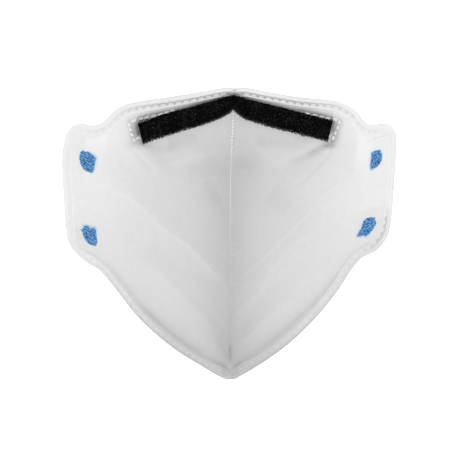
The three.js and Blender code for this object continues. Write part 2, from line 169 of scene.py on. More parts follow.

# The edge weld of each side from the nose to the chin: distance along the rim, width, distance
# of the teeth's tips from the rim, depth of the groove, half-widths of a tooth at its tip and
# at its base, height of the dots, height of the ridge line, and painted shade on the weld and
# just inside it (below 0 a painted highlight, lighter than the panels).
EDGE_WELD = {
    -1: np.array([
        [0, 4.8, 2.75, 0.6, 1.05, 1.65, 0, 1.0, -0.3],
        [12, 4.8, 2.85, 1.0, 1.05, 1.65, 0, 1.0, -0.3],
        [22, 4.9, 3.2, 1.0, 1.05, 1.65, 0, 1.0, -0.2],
        [36, 5.2, 3.3, 0.85, 1.05, 1.65, 0, 1.0, -0.1],
        [50, 5.6, 3.1, 0.45, 1.00, 1.55, 0, 1.0, 0],
        [60, 5.6, 3.3, 0.22, 0.85, 1.40, 0, 1.0, 0],
        [70, 6.0, 3.2, 0.13, 0.40, 1.10, 0, 1.0, 0],
        [78, 7.0, 3.1, 0.12, 0.25, 1.00, 0, 1.0, 0],
        [82, 7.6, 3.1, 0.04, 0.25, 1.00, 0, 1.0, 0],
        [90, 7.6, 3.0, 0.01, 0.40, 1.10, 0, 1.0, 0],
        [95, 6.2, 2.8, 0.01, 0.40, 1.10, 0, 1.0, 0],
        [100, 4.9, 2.4, 0.02, 0.50, 1.20, 0, 1.0, 0],
        [130, 4.6, 2.3, 0.02, 0.50, 1.20, 0, 1.0, 0],
        [145, 4.1, 2.0, 0.02, 0.50, 1.20, 0.2, 0.8, 0],
        [151, 3.8, 1.8, 0.02, 0.50, 1.20, 0.8, 0.3, 0],
        [157, 4.2, 1.8, 0.02, 0.50, 1.20, 1.3, 0.1, 0],
        [163, 4.4, 1.8, 0.02, 0.50, 1.20, 1.3, 0, 0],
        [170, 3.5, 1.8, 0.02, 0.50, 1.20, 0.75, 0, 0],
        [185, 3.4, 1.8, 0.02, 0.50, 1.20, 0.65, 0, 0.04],
        [200, 3.4, 1.8, 0.02, 0.50, 1.20, 0.6, 0, 0.16],
        [215, 3.5, 1.8, 0.02, 0.50, 1.20, 0.5, 0, 0.28],
        [230, 3.6, 1.8, 0.02, 0.50, 1.20, 0.45, 0, 0.4],
        [248, 3.6, 1.8, 0.02, 0.50, 1.20, 0.3, 0, 0.42],
        [258, 4.8, 2.1, 0.02, 0.50, 1.20, 0.2, 0, 0.36],
    ], float),
    1: np.array([
        [0, 4.8, 2.75, 0.8, 1.05, 1.65, 0, 1.0, -0.3],
        [10, 4.8, 3.0, 1.0, 1.05, 1.65, 0, 1.0, -0.3],
        [25, 4.6, 2.75, 1.0, 1.05, 1.65, 0, 1.0, -0.2],
        [35, 4.9, 3.1, 0.9, 1.05, 1.65, 0, 1.0, -0.1],
        [50, 5.1, 2.7, 0.45, 1.00, 1.55, 0, 1.0, 0],
        [62, 5.4, 2.7, 0.26, 0.80, 1.40, 0, 1.0, 0],
        [70, 5.8, 2.8, 0.16, 0.40, 1.10, 0, 1.0, 0],
        [76, 6.2, 2.8, 0.14, 0.25, 1.00, 0, 1.0, 0],
        [80, 6.4, 2.8, 0.06, 0.25, 1.00, 0, 1.0, 0],
        [84, 6.0, 2.7, 0.03, 0.25, 1.00, 0, 1.0, 0],
        [88, 4.8, 2.3, 0.02, 0.40, 1.10, 0, 1.0, 0],
        [93, 3.6, 1.6, 0.02, 0.50, 1.20, 0, 1.0, 0],
        [126, 3.5, 1.5, 0.02, 0.50, 1.20, 0, 1.0, 0.03],
        [133, 4.0, 2.6, 0.4, 0.60, 1.30, 0, 0.3, 0.12],
        [144, 4.6, 2.8, 0.42, 0.70, 1.40, 0, 0.2, 0.12],
        [151, 5.0, 2.8, 0.28, 0.60, 1.30, 0.3, 0, 0.12],
        [161, 4.1, 2.0, 0.08, 0.50, 1.20, 0.5, 0, 0.06],
        [175, 4.2, 2.1, 0.02, 0.50, 1.20, 0.45, 0, 0.04],
        [190, 4.1, 2.1, 0.02, 0.50, 1.20, 0.45, 0, 0.06],
        [200, 4.1, 2.1, 0.02, 0.50, 1.20, 0.5, 0, 0.12],
        [212, 4.3, 2.2, 0.02, 0.50, 1.20, 0.45, 0, 0.2],
        [225, 4.7, 2.3, 0.02, 0.50, 1.20, 0.4, 0, 0.4],
        [240, 5.1, 2.4, 0.02, 0.50, 1.20, 0.4, 0, 0.55],
        [252, 4.8, 2.1, 0.02, 0.50, 1.20, 0.2, 0, 0.36],
    ], float),
}

# Long edges of the nose foam from left to right: top x, top y, bottom x, bottom y.
FOAM_EDGES = np.array([
    [-47, 56.25, -44.2, 45.7],
    [-41.7, 58.2, -39.1, 47.9],
    [-33.5, 61.2, -30.9, 50.4],
    [-26.4, 63.25, -23.7, 52.8],
    [-13.6, 66.8, -11, 56.8],
    [-7.2, 68.55, -4.6, 59.3],
    [-0.8, 70.6, 0, 61.8],
    [2.8, 71.2, 2, 63.7],
    [6.2, 70.1, 4.1, 61.5],
    [9.9, 68.9, 7.7, 59.1],
    [22.1, 65.85, 19.5, 55.1],
    [37, 62.05, 34.4, 51.3],
    [44.4, 59.8, 42, 49.3],
    [52.8, 57.6, 50.3, 47.0],
], float)

# The path of the clip's weld round the nose foam.
CLIP_WELD = [(-46.5, 49), (-49, 47.6), (-51.2, 57), (-42, 59.1), (-20, 65.2), (3, 72),
             (24, 66.4), (47, 59.5), (56.2, 57.6), (53, 48.4), (50.7, 49.6)]

# Spots of that weld: x, y, angle in degrees, length.
CLIP_SPOTS = [
    (-48.9, 57.6, 20, 2.6), (-45.5, 58.35, 17, 2.6), (-42.4, 59.1, 15, 2.6),
    (-38.9, 59.75, 15, 2.6), (-35.5, 60.7, 15, 2.6), (-32.3, 61.6, 16, 2.6),
    (-29.4, 62.5, 16, 2.2),
    (-51.3, 55.8, 108, 2.1), (-50.4, 53.3, 108, 2.1), (-49.6, 50.7, 108, 2.1),
    (-48.7, 48.1, 108, 2.1), (-46.4, 49.3, 36, 3.0),
    (39.9, 61.0, -15, 2.3), (43.7, 60.45, -15, 2.6), (47.1, 59.45, -15, 2.6),
    (50.35, 58.65, -16, 2.6), (53.8, 58.3, -20, 2.6),
    (56.0, 57.0, 68, 2.1), (55.1, 54.3, 68, 2.1), (54.0, 51.7, 68, 2.1),
    (52.9, 49.1, 68, 2.1), (51.1, 50.3, 75, 1.7),
]

# Middles of the welded band ends: left x, left y, right x, right y.
BAND_ENDS = {
    "headband_upper": (-72.5, 36.5, 74.5, 37.5),
    "headband_lower": (-71, -0.5, 70, 3.5),
}

# Cut outline of each welded end, angle of its ribs, and the side where it frays, in degrees.
END_OUTLINES = {
    "headband_upper": [
        ([(-75.7, 41.4), (-74.5, 42.2), (-73.3, 41.6), (-72.1, 41.7), (-70.3, 40.7),
          (-68.5, 39.2), (-68.0, 38.0), (-68.5, 35.8), (-68.7, 33.2), (-69.2, 31.8),
          (-70.1, 31.0), (-71.7, 31.4), (-73.3, 32.2), (-75.0, 33.9), (-75.9, 35.8),
          (-76.3, 38.0), (-76.3, 39.7)], -32, 0),
        ([(72.3, 41.2), (74.0, 42.2), (76.6, 42.7), (77.1, 41.6), (77.6, 40.1),
          (77.3, 37.6), (76.3, 35.4), (74.7, 33.7), (72.9, 32.9), (72.0, 32.7),
          (71.7, 33.6), (71.7, 35.4), (72.1, 37.6), (72.2, 39.7)], 62, 190),
    ],
    "headband_lower": [
        ([(-74.1, 3.9), (-73.4, 4.2), (-71.6, 3.9), (-70.9, 2.8), (-68.7, 3.0),
          (-68.0, 1.7), (-67.6, -0.5), (-67.3, -3.4), (-67.4, -5.2), (-68.3, -6.2),
          (-70.1, -5.9), (-72.0, -4.8), (-73.4, -3.0), (-74.3, -1.2), (-74.7, 0.7),
          (-75.7, 2.0), (-74.7, 2.4)], -38, 60),
        ([(68.3, 6.6), (69.8, 7.8), (71.6, 8.2), (73.6, 8.1), (74.1, 6.6), (74.5, 5.1),
          (73.8, 3.4), (72.0, 0.8), (70.1, -1.0), (68.9, -1.6), (68.0, -1.1), (66.5, -1.4),
          (64.8, -1.7), (65.6, 0.4), (66.9, 2.6), (67.6, 4.8)], 40, 210),
    ],
}


WALL = 1.6  # the loose laminate
STEEPEST = 1.7  # most by which a slope thickens a wall, measured upright
FOLD_FADE = 6.0  # distance from the front fold over which the soft folds set in
CHIN_ROUND = (65, 75)  # distance below the middle where the fold opens out round
CLIP_MIDDLE = 2  # the clip's weld shows from the first to the second distance from here
CLIP_SIDES = (30, 45)
CLIP_PULL, CLIP_REACH = 1.3, 2.6  # how deep and how wide the weld pulls the fabric in
FOAM_END_DEPTHS = (3.4, 1.6)  # depth of the groove at the foam's left and right end
PUCKER_PITCH, PUCKER_HEIGHT, PUCKER_AT, PUCKER_REACH = 7.2, 0.12, 3.5, 3
CREVICE, CHIN_CREVICE = 0.2, 0.6  # depth of the fold's sharp bottom
CHIN_CREVICE_Y, CHIN_CREVICE_REACH = -61.5, 4


class RespiratorSizes(bpy.types.PropertyGroup):
    """Sizes of the soft pieces."""

    wall: FloatProperty(
        name="Laminate thickness", description="Loose layers of the filter shell",
        default=WALL * MM, unit="LENGTH", subtype="DISTANCE")
    rim_wall: FloatProperty(
        name="Pressed thickness", description="The same layers in the edge weld",
        default=0.0011, unit="LENGTH", subtype="DISTANCE")
    teeth: IntProperty(
        name="Weld teeth", description="Teeth of the edge weld from the nose to the chin",
        default=63, min=8)
    foam: FloatProperty(
        name="Foam thickness", description="Nose foam", default=0.0024,
        unit="LENGTH", subtype="DISTANCE")
    band_width: FloatProperty(
        name="Headband width", description="Width of the woven elastic",
        default=0.0116, unit="LENGTH", subtype="DISTANCE")
    band_thickness: FloatProperty(
        name="Headband thickness", description="Thickness of the woven elastic",
        default=0.001, unit="LENGTH", subtype="DISTANCE")


def linear(hex_colour):
    """The linear colour of an sRGB hex value, with an alpha of 1."""
    values = [int(hex_colour[i:i + 2], 16) / 255 for i in (0, 2, 4)]
    return tuple(v / 12.92 if v <= 0.04045 else ((v + 0.055) / 1.055) ** 2.4
                 for v in values) + (1.0,)


def colour_property(name, description, hex_colour):
    return FloatVectorProperty(name=name, description=description, subtype="COLOR", size=4,
                               min=0, max=1, default=linear(hex_colour))


class RespiratorColours(bpy.types.PropertyGroup):
    """Colours of the soft pieces and of the floor."""

    fabric: colour_property("Fabric", "White spunbond of the filter shell", "F4F4F4")
    # Painted shade: the colour the panels darken to towards the front fold.
    hollow_shade: colour_property("Hollow fabric", "The thinner, creased middle of the panels", "E2E2E2")
    # Also the colour of the painted highlights on the shell.
    weld: colour_property("Weld spots", "Raised spots of the seam and clip welds", "FAFAFA")
    # Also the colour of the painted shade on the shell.
    fused: colour_property("Fused fabric", "Pressed spots of the welds", "ABABAB")
    foam: colour_property("Foam", "Black foam of the nose pad", "050505")
    foam_light: colour_property("Foam cells", "Cell walls that catch the light", "B4B4B4")
    elastic: colour_property("Elastic", "Blue yarn of the headbands", "84C2F4")
    elastic_dark: colour_property("Elastic shade", "Gaps between the yarns", "134F90")
    fibre: colour_property("Frayed fibre", "Loose fibres of the elastic", "E0F0FF")
    floor: colour_property("Floor", "Pale floor under the object", "FAFAFA")


# Shape of the inner face, in millimetres.

def smoothstep(x, low, high):
    """0 up to low, 1 from high, and smooth between them."""
    t = np.clip((x - low) / (high - low), 0, 1)
    return t * t * (3 - 2 * t)


def bell(distance, reach):
    """1 at no distance, falling smoothly to about a third at the reach."""
    return np.exp(-((distance / reach) ** 2))


def table_at(table, x):
    """Values of a table's further columns at x in its first column."""
    return [np.interp(x, table[:, 0], table[:, c]) for c in range(1, table.shape[1])]


def section_at(y):
    """Height of the fold, the two slopes and their blend length at y, on a smooth curve."""
    ys, values = SECTIONS[:, 0], SECTIONS[:, 1:]
    y = np.clip(y, ys[0], ys[-1])
    i = np.clip(np.searchsorted(ys, y, side="right") - 1, 0, len(ys) - 2)
    step = np.diff(ys)
    slopes = np.diff(values, axis=0) / step[:, None]
    tangents = np.vstack([slopes[:1], (slopes[1:] + slopes[:-1]) / 2, slopes[-1:]])
    t = ((y - ys[i]) / step[i])[..., None]
    h = step[i][..., None]
    result = ((1 + 2 * t) * (1 - t) ** 2 * values[i] + t * (1 - t) ** 2 * h * tangents[i]
              + t * t * (3 - 2 * t) * values[i + 1] + t * t * (t - 1) * h * tangents[i + 1])
    return np.moveaxis(result, -1, 0)


def fold_x(y):
    """x of the front fold, which bends to the right towards the nose."""
    return 0.4 + 2.6 * (np.maximum(0, y - 8) / 67) ** 2


def distance_to_line(x, y, points):
    """Distance to a line through points, and the share of its length passed there."""
    points = np.array(points, float)
    lengths = np.hypot(*np.diff(points, axis=0).T)
    before = np.r_[0, np.cumsum(lengths)]
    nearest = np.full(np.shape(x), np.inf)
    passed = np.zeros(np.shape(x))
    for (x1, y1), (x2, y2), length, start in zip(points[:-1], points[1:], lengths, before):
        t = np.clip(((x - x1) * (x2 - x1) + (y - y1) * (y2 - y1)) / length ** 2, 0, 1)
        d = np.hypot(x - x1 - t * (x2 - x1), y - y1 - t * (y2 - y1))
        closer = d < nearest
        nearest = np.where(closer, d, nearest)
        passed = np.where(closer, (start + t * length) / before[-1], passed)
    return nearest, passed


def fold_relief(x, y):
    """Height of the soft diagonal folds."""
    relief = np.zeros(np.shape(x))
    for x1, y1, x2, y2, height, half_width in FOLDS:
        d, _ = distance_to_line(x, y, [(x1, y1), (x2, y2)])
        relief += height * bell(d, half_width)
    return relief


def inner_z(x, y):
    """Height of the plain inner face."""
    keel, steep, shallow, blend = section_at(y)
    radius = 0.2 + 4.5 * smoothstep(-y, *CHIN_ROUND)
    u = np.sqrt((x - fold_x(y)) ** 2 + radius ** 2) - radius
    rise = shallow * u + (steep - shallow) * blend * (1 - np.exp(-u / blend))
    return keel + rise + fold_relief(x, y) * (1 - np.exp(-u / FOLD_FADE))


def upright_thickness(x, y, wall):
    """Thickness of a wall measured upright, where it lies on the slope of the inner face."""
    step = 0.4
    gx = (inner_z(x + step, y) - inner_z(x - step, y)) / (2 * step)
    gy = (inner_z(x, y + step) - inner_z(x, y - step)) / (2 * step)
    return wall * np.minimum(STEEPEST, np.sqrt(1 + gx ** 2 + gy ** 2))


def outer_z(x, y):
    """Height of the plain outer face, which lies below."""
    return inner_z(x, y) - upright_thickness(x, y, WALL)


def lengths_along(line):
    """Distances along a line to each of its points."""
    return np.r_[0, np.cumsum(np.hypot(*np.diff(line, axis=0).T))]


def points_at(line, along, s):
    """Points of a line at the distances s along it."""
    return np.stack([np.interp(s, along, column) for column in line.T], -1)


def turned(x, y, angle):
    """x and y turned by an angle in radians."""
    return x * np.cos(angle) - y * np.sin(angle), x * np.sin(angle) + y * np.cos(angle)


def soft_noise(x, y, size, seed):
    """Smooth noise from about -1 to 1 whose lumps are size millimetres wide."""
    flat = np.c_[np.ravel(x), np.ravel(y)] / size
    values = [noise.noise(Vector((a, b, seed))) for a, b in flat]
    return np.reshape(values, np.shape(x)) * 1.6


def creases_at(x, y):
    """Height of the creases, and the painted highlight along them (below 0 painted shade)."""
    relief, crease_painted_light = np.zeros(np.shape(x)), np.zeros(np.shape(x))
    for height, half_width, white, points in CREASES:
        d, passed = distance_to_line(x, y, points)
        ends = smoothstep(passed, 0, 0.15) * (1 - smoothstep(passed, 0.8, 1) * 0.6)
        shape = ends * bell(d, half_width)
        relief += height * shape
        crease_painted_light += white * shape
    return relief, crease_painted_light


def foam_end_groove(x, y):
    """Depth of the groove that the fabric makes along each end of the foam, from 0 to 1."""
    groove = np.zeros(np.shape(x))
    for row, reach in ((FOAM_EDGES[0], 1.9), (FOAM_EDGES[-1], 1.4)):
        d, passed = distance_to_line(x, y, row.reshape(2, 2))
        middle = smoothstep(passed, -0.1, 0.1) * (1 - smoothstep(passed, 0.38, 0.65))
        groove = np.maximum(groove, middle * bell(d, reach))
    return groove


def clip_weld_at(x, y):
    """Distance to the path of the clip's weld, and how far the weld shows there."""
    d, _ = distance_to_line(x, y, CLIP_WELD)
    return d, smoothstep(np.abs(x - CLIP_MIDDLE), *CLIP_SIDES)


def pressed_and_shade_at(x, y):
    """How grey the fabric is: in the clip's weld, partly pressed fabric and partly painted shade,
    and beside the foam's ends a painted shadow.
    """
    d, shows = clip_weld_at(x, y)
    return np.clip(0.45 * shows * bell(d, 1.7) + 1.6 * foam_end_groove(x, y) ** 2, 0, 1)


def crease_relief(x, y):
    """Creases, pulled-in welds and puckers on top of the plain inner face."""
    u = np.abs(x - fold_x(y))
    relief, _ = creases_at(x, y)
    d, shows = clip_weld_at(x, y)
    relief += shows * (0.4 * bell(d - 5.5, 2.2) - CLIP_PULL * bell(d, CLIP_REACH))
    relief -= np.where(x < 0, *FOAM_END_DEPTHS) * foam_end_groove(x, y)
    uneven = 3 * soft_noise(np.sign(x - fold_x(y)) * 9, y, 9, 5)
    puckers = np.sin((y - 0.9 * u) * 2 * math.pi / PUCKER_PITCH + uneven)
    puckers = PUCKER_HEIGHT * puckers * bell(u - PUCKER_AT, PUCKER_REACH)
    relief += puckers * smoothstep(y, -58, -50) * (1 - smoothstep(y, -4, 6))
    relief += 0.1 * soft_noise(x, y, 11, 1) + 0.05 * soft_noise(x, y, 4, 2)
    relief *= 1 - np.exp(-u / 1.5)
    # The fold's bottom is sharp in the lower half and deepest above the chin.
    crevice = CREVICE * (1 - smoothstep(y, -15, 0))
    crevice = crevice + CHIN_CREVICE * bell(y - CHIN_CREVICE_Y, CHIN_CREVICE_REACH)
    relief -= crevice * np.exp(-u / 0.6) * smoothstep(y, -70.5, -65)
    return relief


# Meshes.

def joined(points, faces):
    """Points that lie together become one, and faces that collapse are left out."""
    _, first, index = np.unique(np.round(points, 4), axis=0, return_index=True,
                                return_inverse=True)
    index = index.ravel()
    order = np.argsort(first)
    rank = np.empty(len(order), int)
    rank[order] = np.arange(len(order))
    faces = rank[index][faces]
    keep = (faces != np.roll(faces, 1, axis=1)).all(axis=1)
    return first[order], faces[keep]


def grid_faces(i, flip=False):
    """Triangles of a grid of point numbers; they face up when its rows run to the right
    and its columns away, or the other way round with flip."""
    a, b, c, d = i[:-1, :-1].ravel(), i[1:, :-1].ravel(), i[1:, 1:].ravel(), i[:-1, 1:].ravel()
    faces = np.vstack([np.c_[a, b, c], np.c_[a, c, d]])
    return faces[:, ::-1] if flip else faces


def tube_faces(i, flip=False):
    """Triangles of a grid of point numbers whose rows are closed rings."""
    return grid_faces(np.c_[i, i[:, :1]], flip)


def cap_faces(ring, apex, flip=False):
    """Triangles that close a ring of point numbers round an apex, which may lie on it."""
    faces = np.c_[ring, np.roll(ring, -1), np.full(len(ring), apex)]
    faces = faces[(faces[:, :2] != apex).all(axis=1)]
    return faces[:, ::-1] if flip else faces


def solid_from_grids(top, under):
    """A closed solid between two grids of points that share their border in plan."""
    n = top[..., 0].size
    i = np.arange(n).reshape(top.shape[:2])
    border = np.r_[i[:-1, 0], i[-1, :-1], i[:0:-1, -1], i[0, :0:-1]]
    walls = tube_faces(np.vstack([border + n, border]), flip=True)
    faces = np.vstack([grid_faces(i), grid_faces(i + n, flip=True), walls])
    return np.vstack([top.reshape(-1, 3), under.reshape(-1, 3)]), faces


def joined_parts(parts):
    """Parts as one: the points and faces of each, and what else it has for each point."""
    points, faces, *values = zip(*parts)
    starts = np.cumsum([0] + [len(part) for part in points[:-1]])
    faces = np.vstack([part + start for part, start in zip(faces, starts)])
    return (np.vstack(points), faces, *(np.concatenate(part) for part in values))


def fibre_solids(starts, directions, lengths, radius, seed):
    """Thin three-sided fibres that rise a little and curl; each is a closed cone."""
    rng = np.random.default_rng(seed)
    rings = np.arange(9).reshape(3, 3)
    faces = np.vstack([tube_faces(rings, flip=True), cap_faces(rings[2], 9),
                       cap_faces(rings[0], 0, flip=True)])
    steps, up = np.linspace(0, 1, 4), (0, 0, 1)
    parts = []
    for start, direction, length in zip(starts, directions, lengths):
        side = np.array([-direction[1], direction[0], 0.0])
        side /= max(np.linalg.norm(side), 1e-6)
        curl, lift = rng.uniform(-0.5, 0.5), rng.uniform(0.0, 0.35)
        line = (start + np.outer(steps, direction) * length
                + np.outer(steps ** 2, side) * curl * length
                + np.outer(np.sin(steps * 2.2), up) * lift * length)
        corners = np.outer([1, -0.5, -0.5], side) + np.outer([0, 0.87, -0.87], up)
        points = [centre + corners * radius * taper
                  for centre, taper in zip(line[:-1], (1, 0.75, 0.5))]
        parts.append((np.vstack([*points, line[-1:]]), faces))
    return joined_parts(parts)


def mesh_object(name, points, faces, uv=None, values=None, smooth_angle=None):
    """A new object from points in millimetres, with its UV and named point values."""
    mesh = bpy.data.meshes.new(name)
    mesh.vertices.add(len(points))
    mesh.vertices.foreach_set("co", (np.asarray(points) * MM).ravel())
    mesh.loops.add(faces.size)
    mesh.loops.foreach_set("vertex_index", faces.ravel())
    mesh.polygons.add(len(faces))
    mesh.polygons.foreach_set("loop_start", np.arange(0, faces.size, faces.shape[1]))
    mesh.polygons.foreach_set("loop_total", np.full(len(faces), faces.shape[1]))
    mesh.update(calc_edges=True)
    if uv is not None:
        layer = mesh.uv_layers.new(name="fabric")
        layer.data.foreach_set("uv", (np.asarray(uv)[faces.ravel()] * MM).ravel())
    for key, value in (values or {}).items():
        attribute = mesh.attributes.new(key, "FLOAT", "POINT")
        attribute.data.foreach_set("value", np.asarray(value, np.float32))
    mesh.validate()
    mesh.shade_smooth()
    obj = bpy.data.objects.new(name, mesh)
    bpy.context.scene.collection.objects.link(obj)
    if smooth_angle is not None:
        bpy.ops.object.select_all(action="DESELECT")
        obj.select_set(True)
        bpy.context.view_layer.objects.active = obj
        bpy.ops.object.shade_smooth_by_angle(angle=math.radians(smooth_angle))
    return obj


# Filter shell.

STATIONS_PER_TOOTH = 8
TANGENT_REACH = 3.5  # distance along the rim, each way, over which its direction is taken
TOOTH_LINE = 3.6  # distance from the rim at which the teeth are evenly spaced
TOOTH_PITCH = 4.0
TOOTH_HEIGHT = 1.0
TOOTH_SOFTNESS = 0.3
BROW = 0.65  # width of the groove between the outer strip and the teeth's tips
GROOVE_DEPTH = 0.5
CROWN_AT, CROWN_REACH, CROWN_HEIGHT = 1.3, 0.8, 0.15  # swelling beside the rim
RIDGE_REACH, RIDGE_HEIGHT = 0.35, 0.35  # thin line along the weld's inner edge
DOT_LENGTH, DOT_WIDTH, DOT_HEIGHT = 0.75, 0.6, 0.3
LEDGE = 0.45  # strip along the rim where only the outer layer shows
# Height by which the wall turns up inside the weld's lower edges: y, left, right.
LIP = np.array([
    [-76, 1.2, 1.2],
    [-74, 2.0, 2.0],
    [-70, 3.8, 3.6],
    [-66, 5.8, 5.2],
    [-60, 7.2, 6.4],
    [-45, 6.6, 5.6],
    [-30, 4.0, 3.6],
    [-15, 1.2, 1.6],
    [-4, 0, 0],
], float)
LIP_FULL = 4.0  # height from which the lip stands up steeply
CHIN_LIP = LIP[0, 1]  # where both sides meet at the chin
LIP_REACH = 0.6  # distance inside the weld over which the lip falls away
NOSE_FOOT, CHIN_FOOT = 68.2, -70.8  # where the fold meets the weld at both ends
WELD_COLUMNS = np.r_[-1, -0.2, np.linspace(0, 1, 17)]  # below 0 on the ledge
PANEL_COLUMNS, UNDER_PANEL_COLUMNS = 96, 28


def rim_curve(points):
    """Close points on a smooth curve through the points of one side of the rim."""
    p = np.vstack([2 * points[0] - points[1], points, 2 * points[-1] - points[-2]])
    parts = []
    for i in range(1, len(p) - 2):
        p0, p1, p2, p3 = p[i - 1:i + 3]
        d0, d1, d2 = (np.linalg.norm(b - a) ** 0.5 for a, b in ((p0, p1), (p1, p2), (p2, p3)))
        t1 = ((p1 - p0) / d0 - (p2 - p0) / (d0 + d1) + (p2 - p1) / d1) * d1
        t2 = ((p2 - p1) / d1 - (p3 - p1) / (d1 + d2) + (p3 - p2) / d2) * d1
        u = np.linspace(0, 1, 60, endpoint=False)[:, None]
        parts.append(p1 + t1 * u + (3 * (p2 - p1) - 2 * t1 - t2) * u ** 2
                     + (2 * (p1 - p2) + t1 + t2) * u ** 3)
    return np.vstack([*parts, p[-2:-1]])


def rim_stations(side, count):
    """Rim, inner edge of the weld and its height, foot on the fold and distance along."""
    column = 0 if side < 0 else 2
    dense = rim_curve(RIM[:, column:column + 2])
    ahead = np.gradient(dense, axis=0)
    ahead /= np.linalg.norm(ahead, axis=1)[:, None]
    normal = np.c_[ahead[:, 1], -ahead[:, 0]] * side
    along, even = lengths_along(dense), lengths_along(dense + normal * TOOTH_LINE)
    s = np.interp(np.linspace(0, even[-1], count + 1), even, along)
    rim = points_at(dense, along, s)
    ahead, behind = (points_at(dense, along, s + way) for way in (TANGENT_REACH, -TANGENT_REACH))
    tangent = (ahead - behind) / np.linalg.norm(ahead - behind, axis=1)[:, None]
    inward = np.c_[tangent[:, 1], -tangent[:, 0]] * side
    width = table_at(EDGE_WELD[side], s)[0][:, None]
    along_fold = np.c_[np.zeros(count + 1), np.where(s / s[-1] < 0.5, -1.0, 1.0)]
    from_end = np.minimum(s, s[-1] - s)[:, None]
    turn = np.maximum(0, 1 - from_end / 8) ** 2
    direction = inward * (1 - turn) + along_fold * turn
    direction /= np.linalg.norm(direction, axis=1)[:, None]
    weld = rim + direction * width / np.sum(direction * inward, axis=1)[:, None]
    weld_z = inner_z(weld[:, 0], weld[:, 1])
    # The inner edges of both sides meet in a sharp V at the chin.
    v_y = CHIN_FOOT + (0.5 if side < 0 else 0.65) * np.abs(weld[:, 0] - 0.2)
    near = 1 - smoothstep(np.abs(weld[:, 0]), 6, 12)
    weld[:, 1] += np.where(weld[:, 1] < 0, near * np.maximum(0, v_y - weld[:, 1]), 0)
    foot_y = np.linspace(NOSE_FOOT, CHIN_FOOT, count + 1)
    foot = np.c_[fold_x(foot_y), foot_y]
    weld[0], weld[-1] = foot[0], foot[-1]
    weld_z[[0, -1]] = inner_z(foot[[0, -1], 0], foot[[0, -1], 1])
    return rim, weld, weld_z[:, None], foot, s


def wall_under_lip(inside, under):
    """How far the wall stands back outwards below the lip, at a distance inside the weld:
    most of all at LIP_REACH, and further on the outer face."""
    back = 0.9 * inside / LIP_REACH * np.exp(1 - inside / LIP_REACH)
    if under:
        back = back + 1.3 * (1 - np.exp(-inside / 0.4)) * np.exp(-inside / 3)
    return back


def lip_at(side, rim_y):
    """Share of the lip that has formed at this height of the rim, and the lip's height."""
    height = table_at(LIP, rim_y)[0 if side < 0 else 1]
    return np.minimum(1, height / LIP_FULL), height


def weld_relief(w, width, tip, depth, tip_half, base_half, dots, ridge, tone, phase):
    """Relief of the edge weld at distance w from the rim, and its grey: 1 in the pressed groove,
    partly fused fabric and partly painted shade; below 0 a painted highlight on the ridge line,
    crown and dots."""
    across = np.abs(phase - 0.5) * TOOTH_PITCH
    half = tip_half + (base_half - tip_half) * np.clip((w - tip) / TOOTH_HEIGHT, 0, 1)
    tooth = 1 - smoothstep(across, half - TOOTH_SOFTNESS, half + TOOTH_SOFTNESS)
    tooth = tooth * smoothstep(w, tip - TOOTH_SOFTNESS, tip + 0.2)
    brow = tip - BROW - 0.1 * np.cos((phase - 0.5) * 2 * math.pi)
    foot = tip + TOOTH_HEIGHT
    groove = smoothstep(w, brow - 0.3, brow + 0.25) * (1 - smoothstep(w, foot - 0.1, foot + 0.4))
    fused = depth * groove * (1 - tooth)
    crown = bell(w - CROWN_AT, CROWN_REACH)
    line = bell(w - width + RIDGE_REACH, RIDGE_REACH)
    dot = dots * bell(across, DOT_LENGTH) * bell(w - 0.55 * width, DOT_WIDTH)
    relief = CROWN_HEIGHT * crown - GROOVE_DEPTH * fused
    relief = relief + RIDGE_HEIGHT * ridge * line + DOT_HEIGHT * dot
    # light is a painted highlight on the ridge line, the crown and the dots; tone adds the painted
    # shade or highlight of the table's last column.
    light = ridge * (0.8 * line + 0.5 * crown) + 0.45 * dot
    return relief, np.clip(fused + tone - light, -1, 1)


def panel_shares(count):
    """Shares of the way from the weld to the fold, closer together at both ends."""
    u = np.linspace(0, 1, count + 1)[1:]
    return u - 0.8 * np.sin(2 * math.pi * u) / (2 * math.pi)


def between(start, end, share):
    """x and y at shares of the way from start to end points, a row for each pair."""
    return (start[:, k:k + 1] + (end - start)[:, k:k + 1] * share for k in (0, 1))


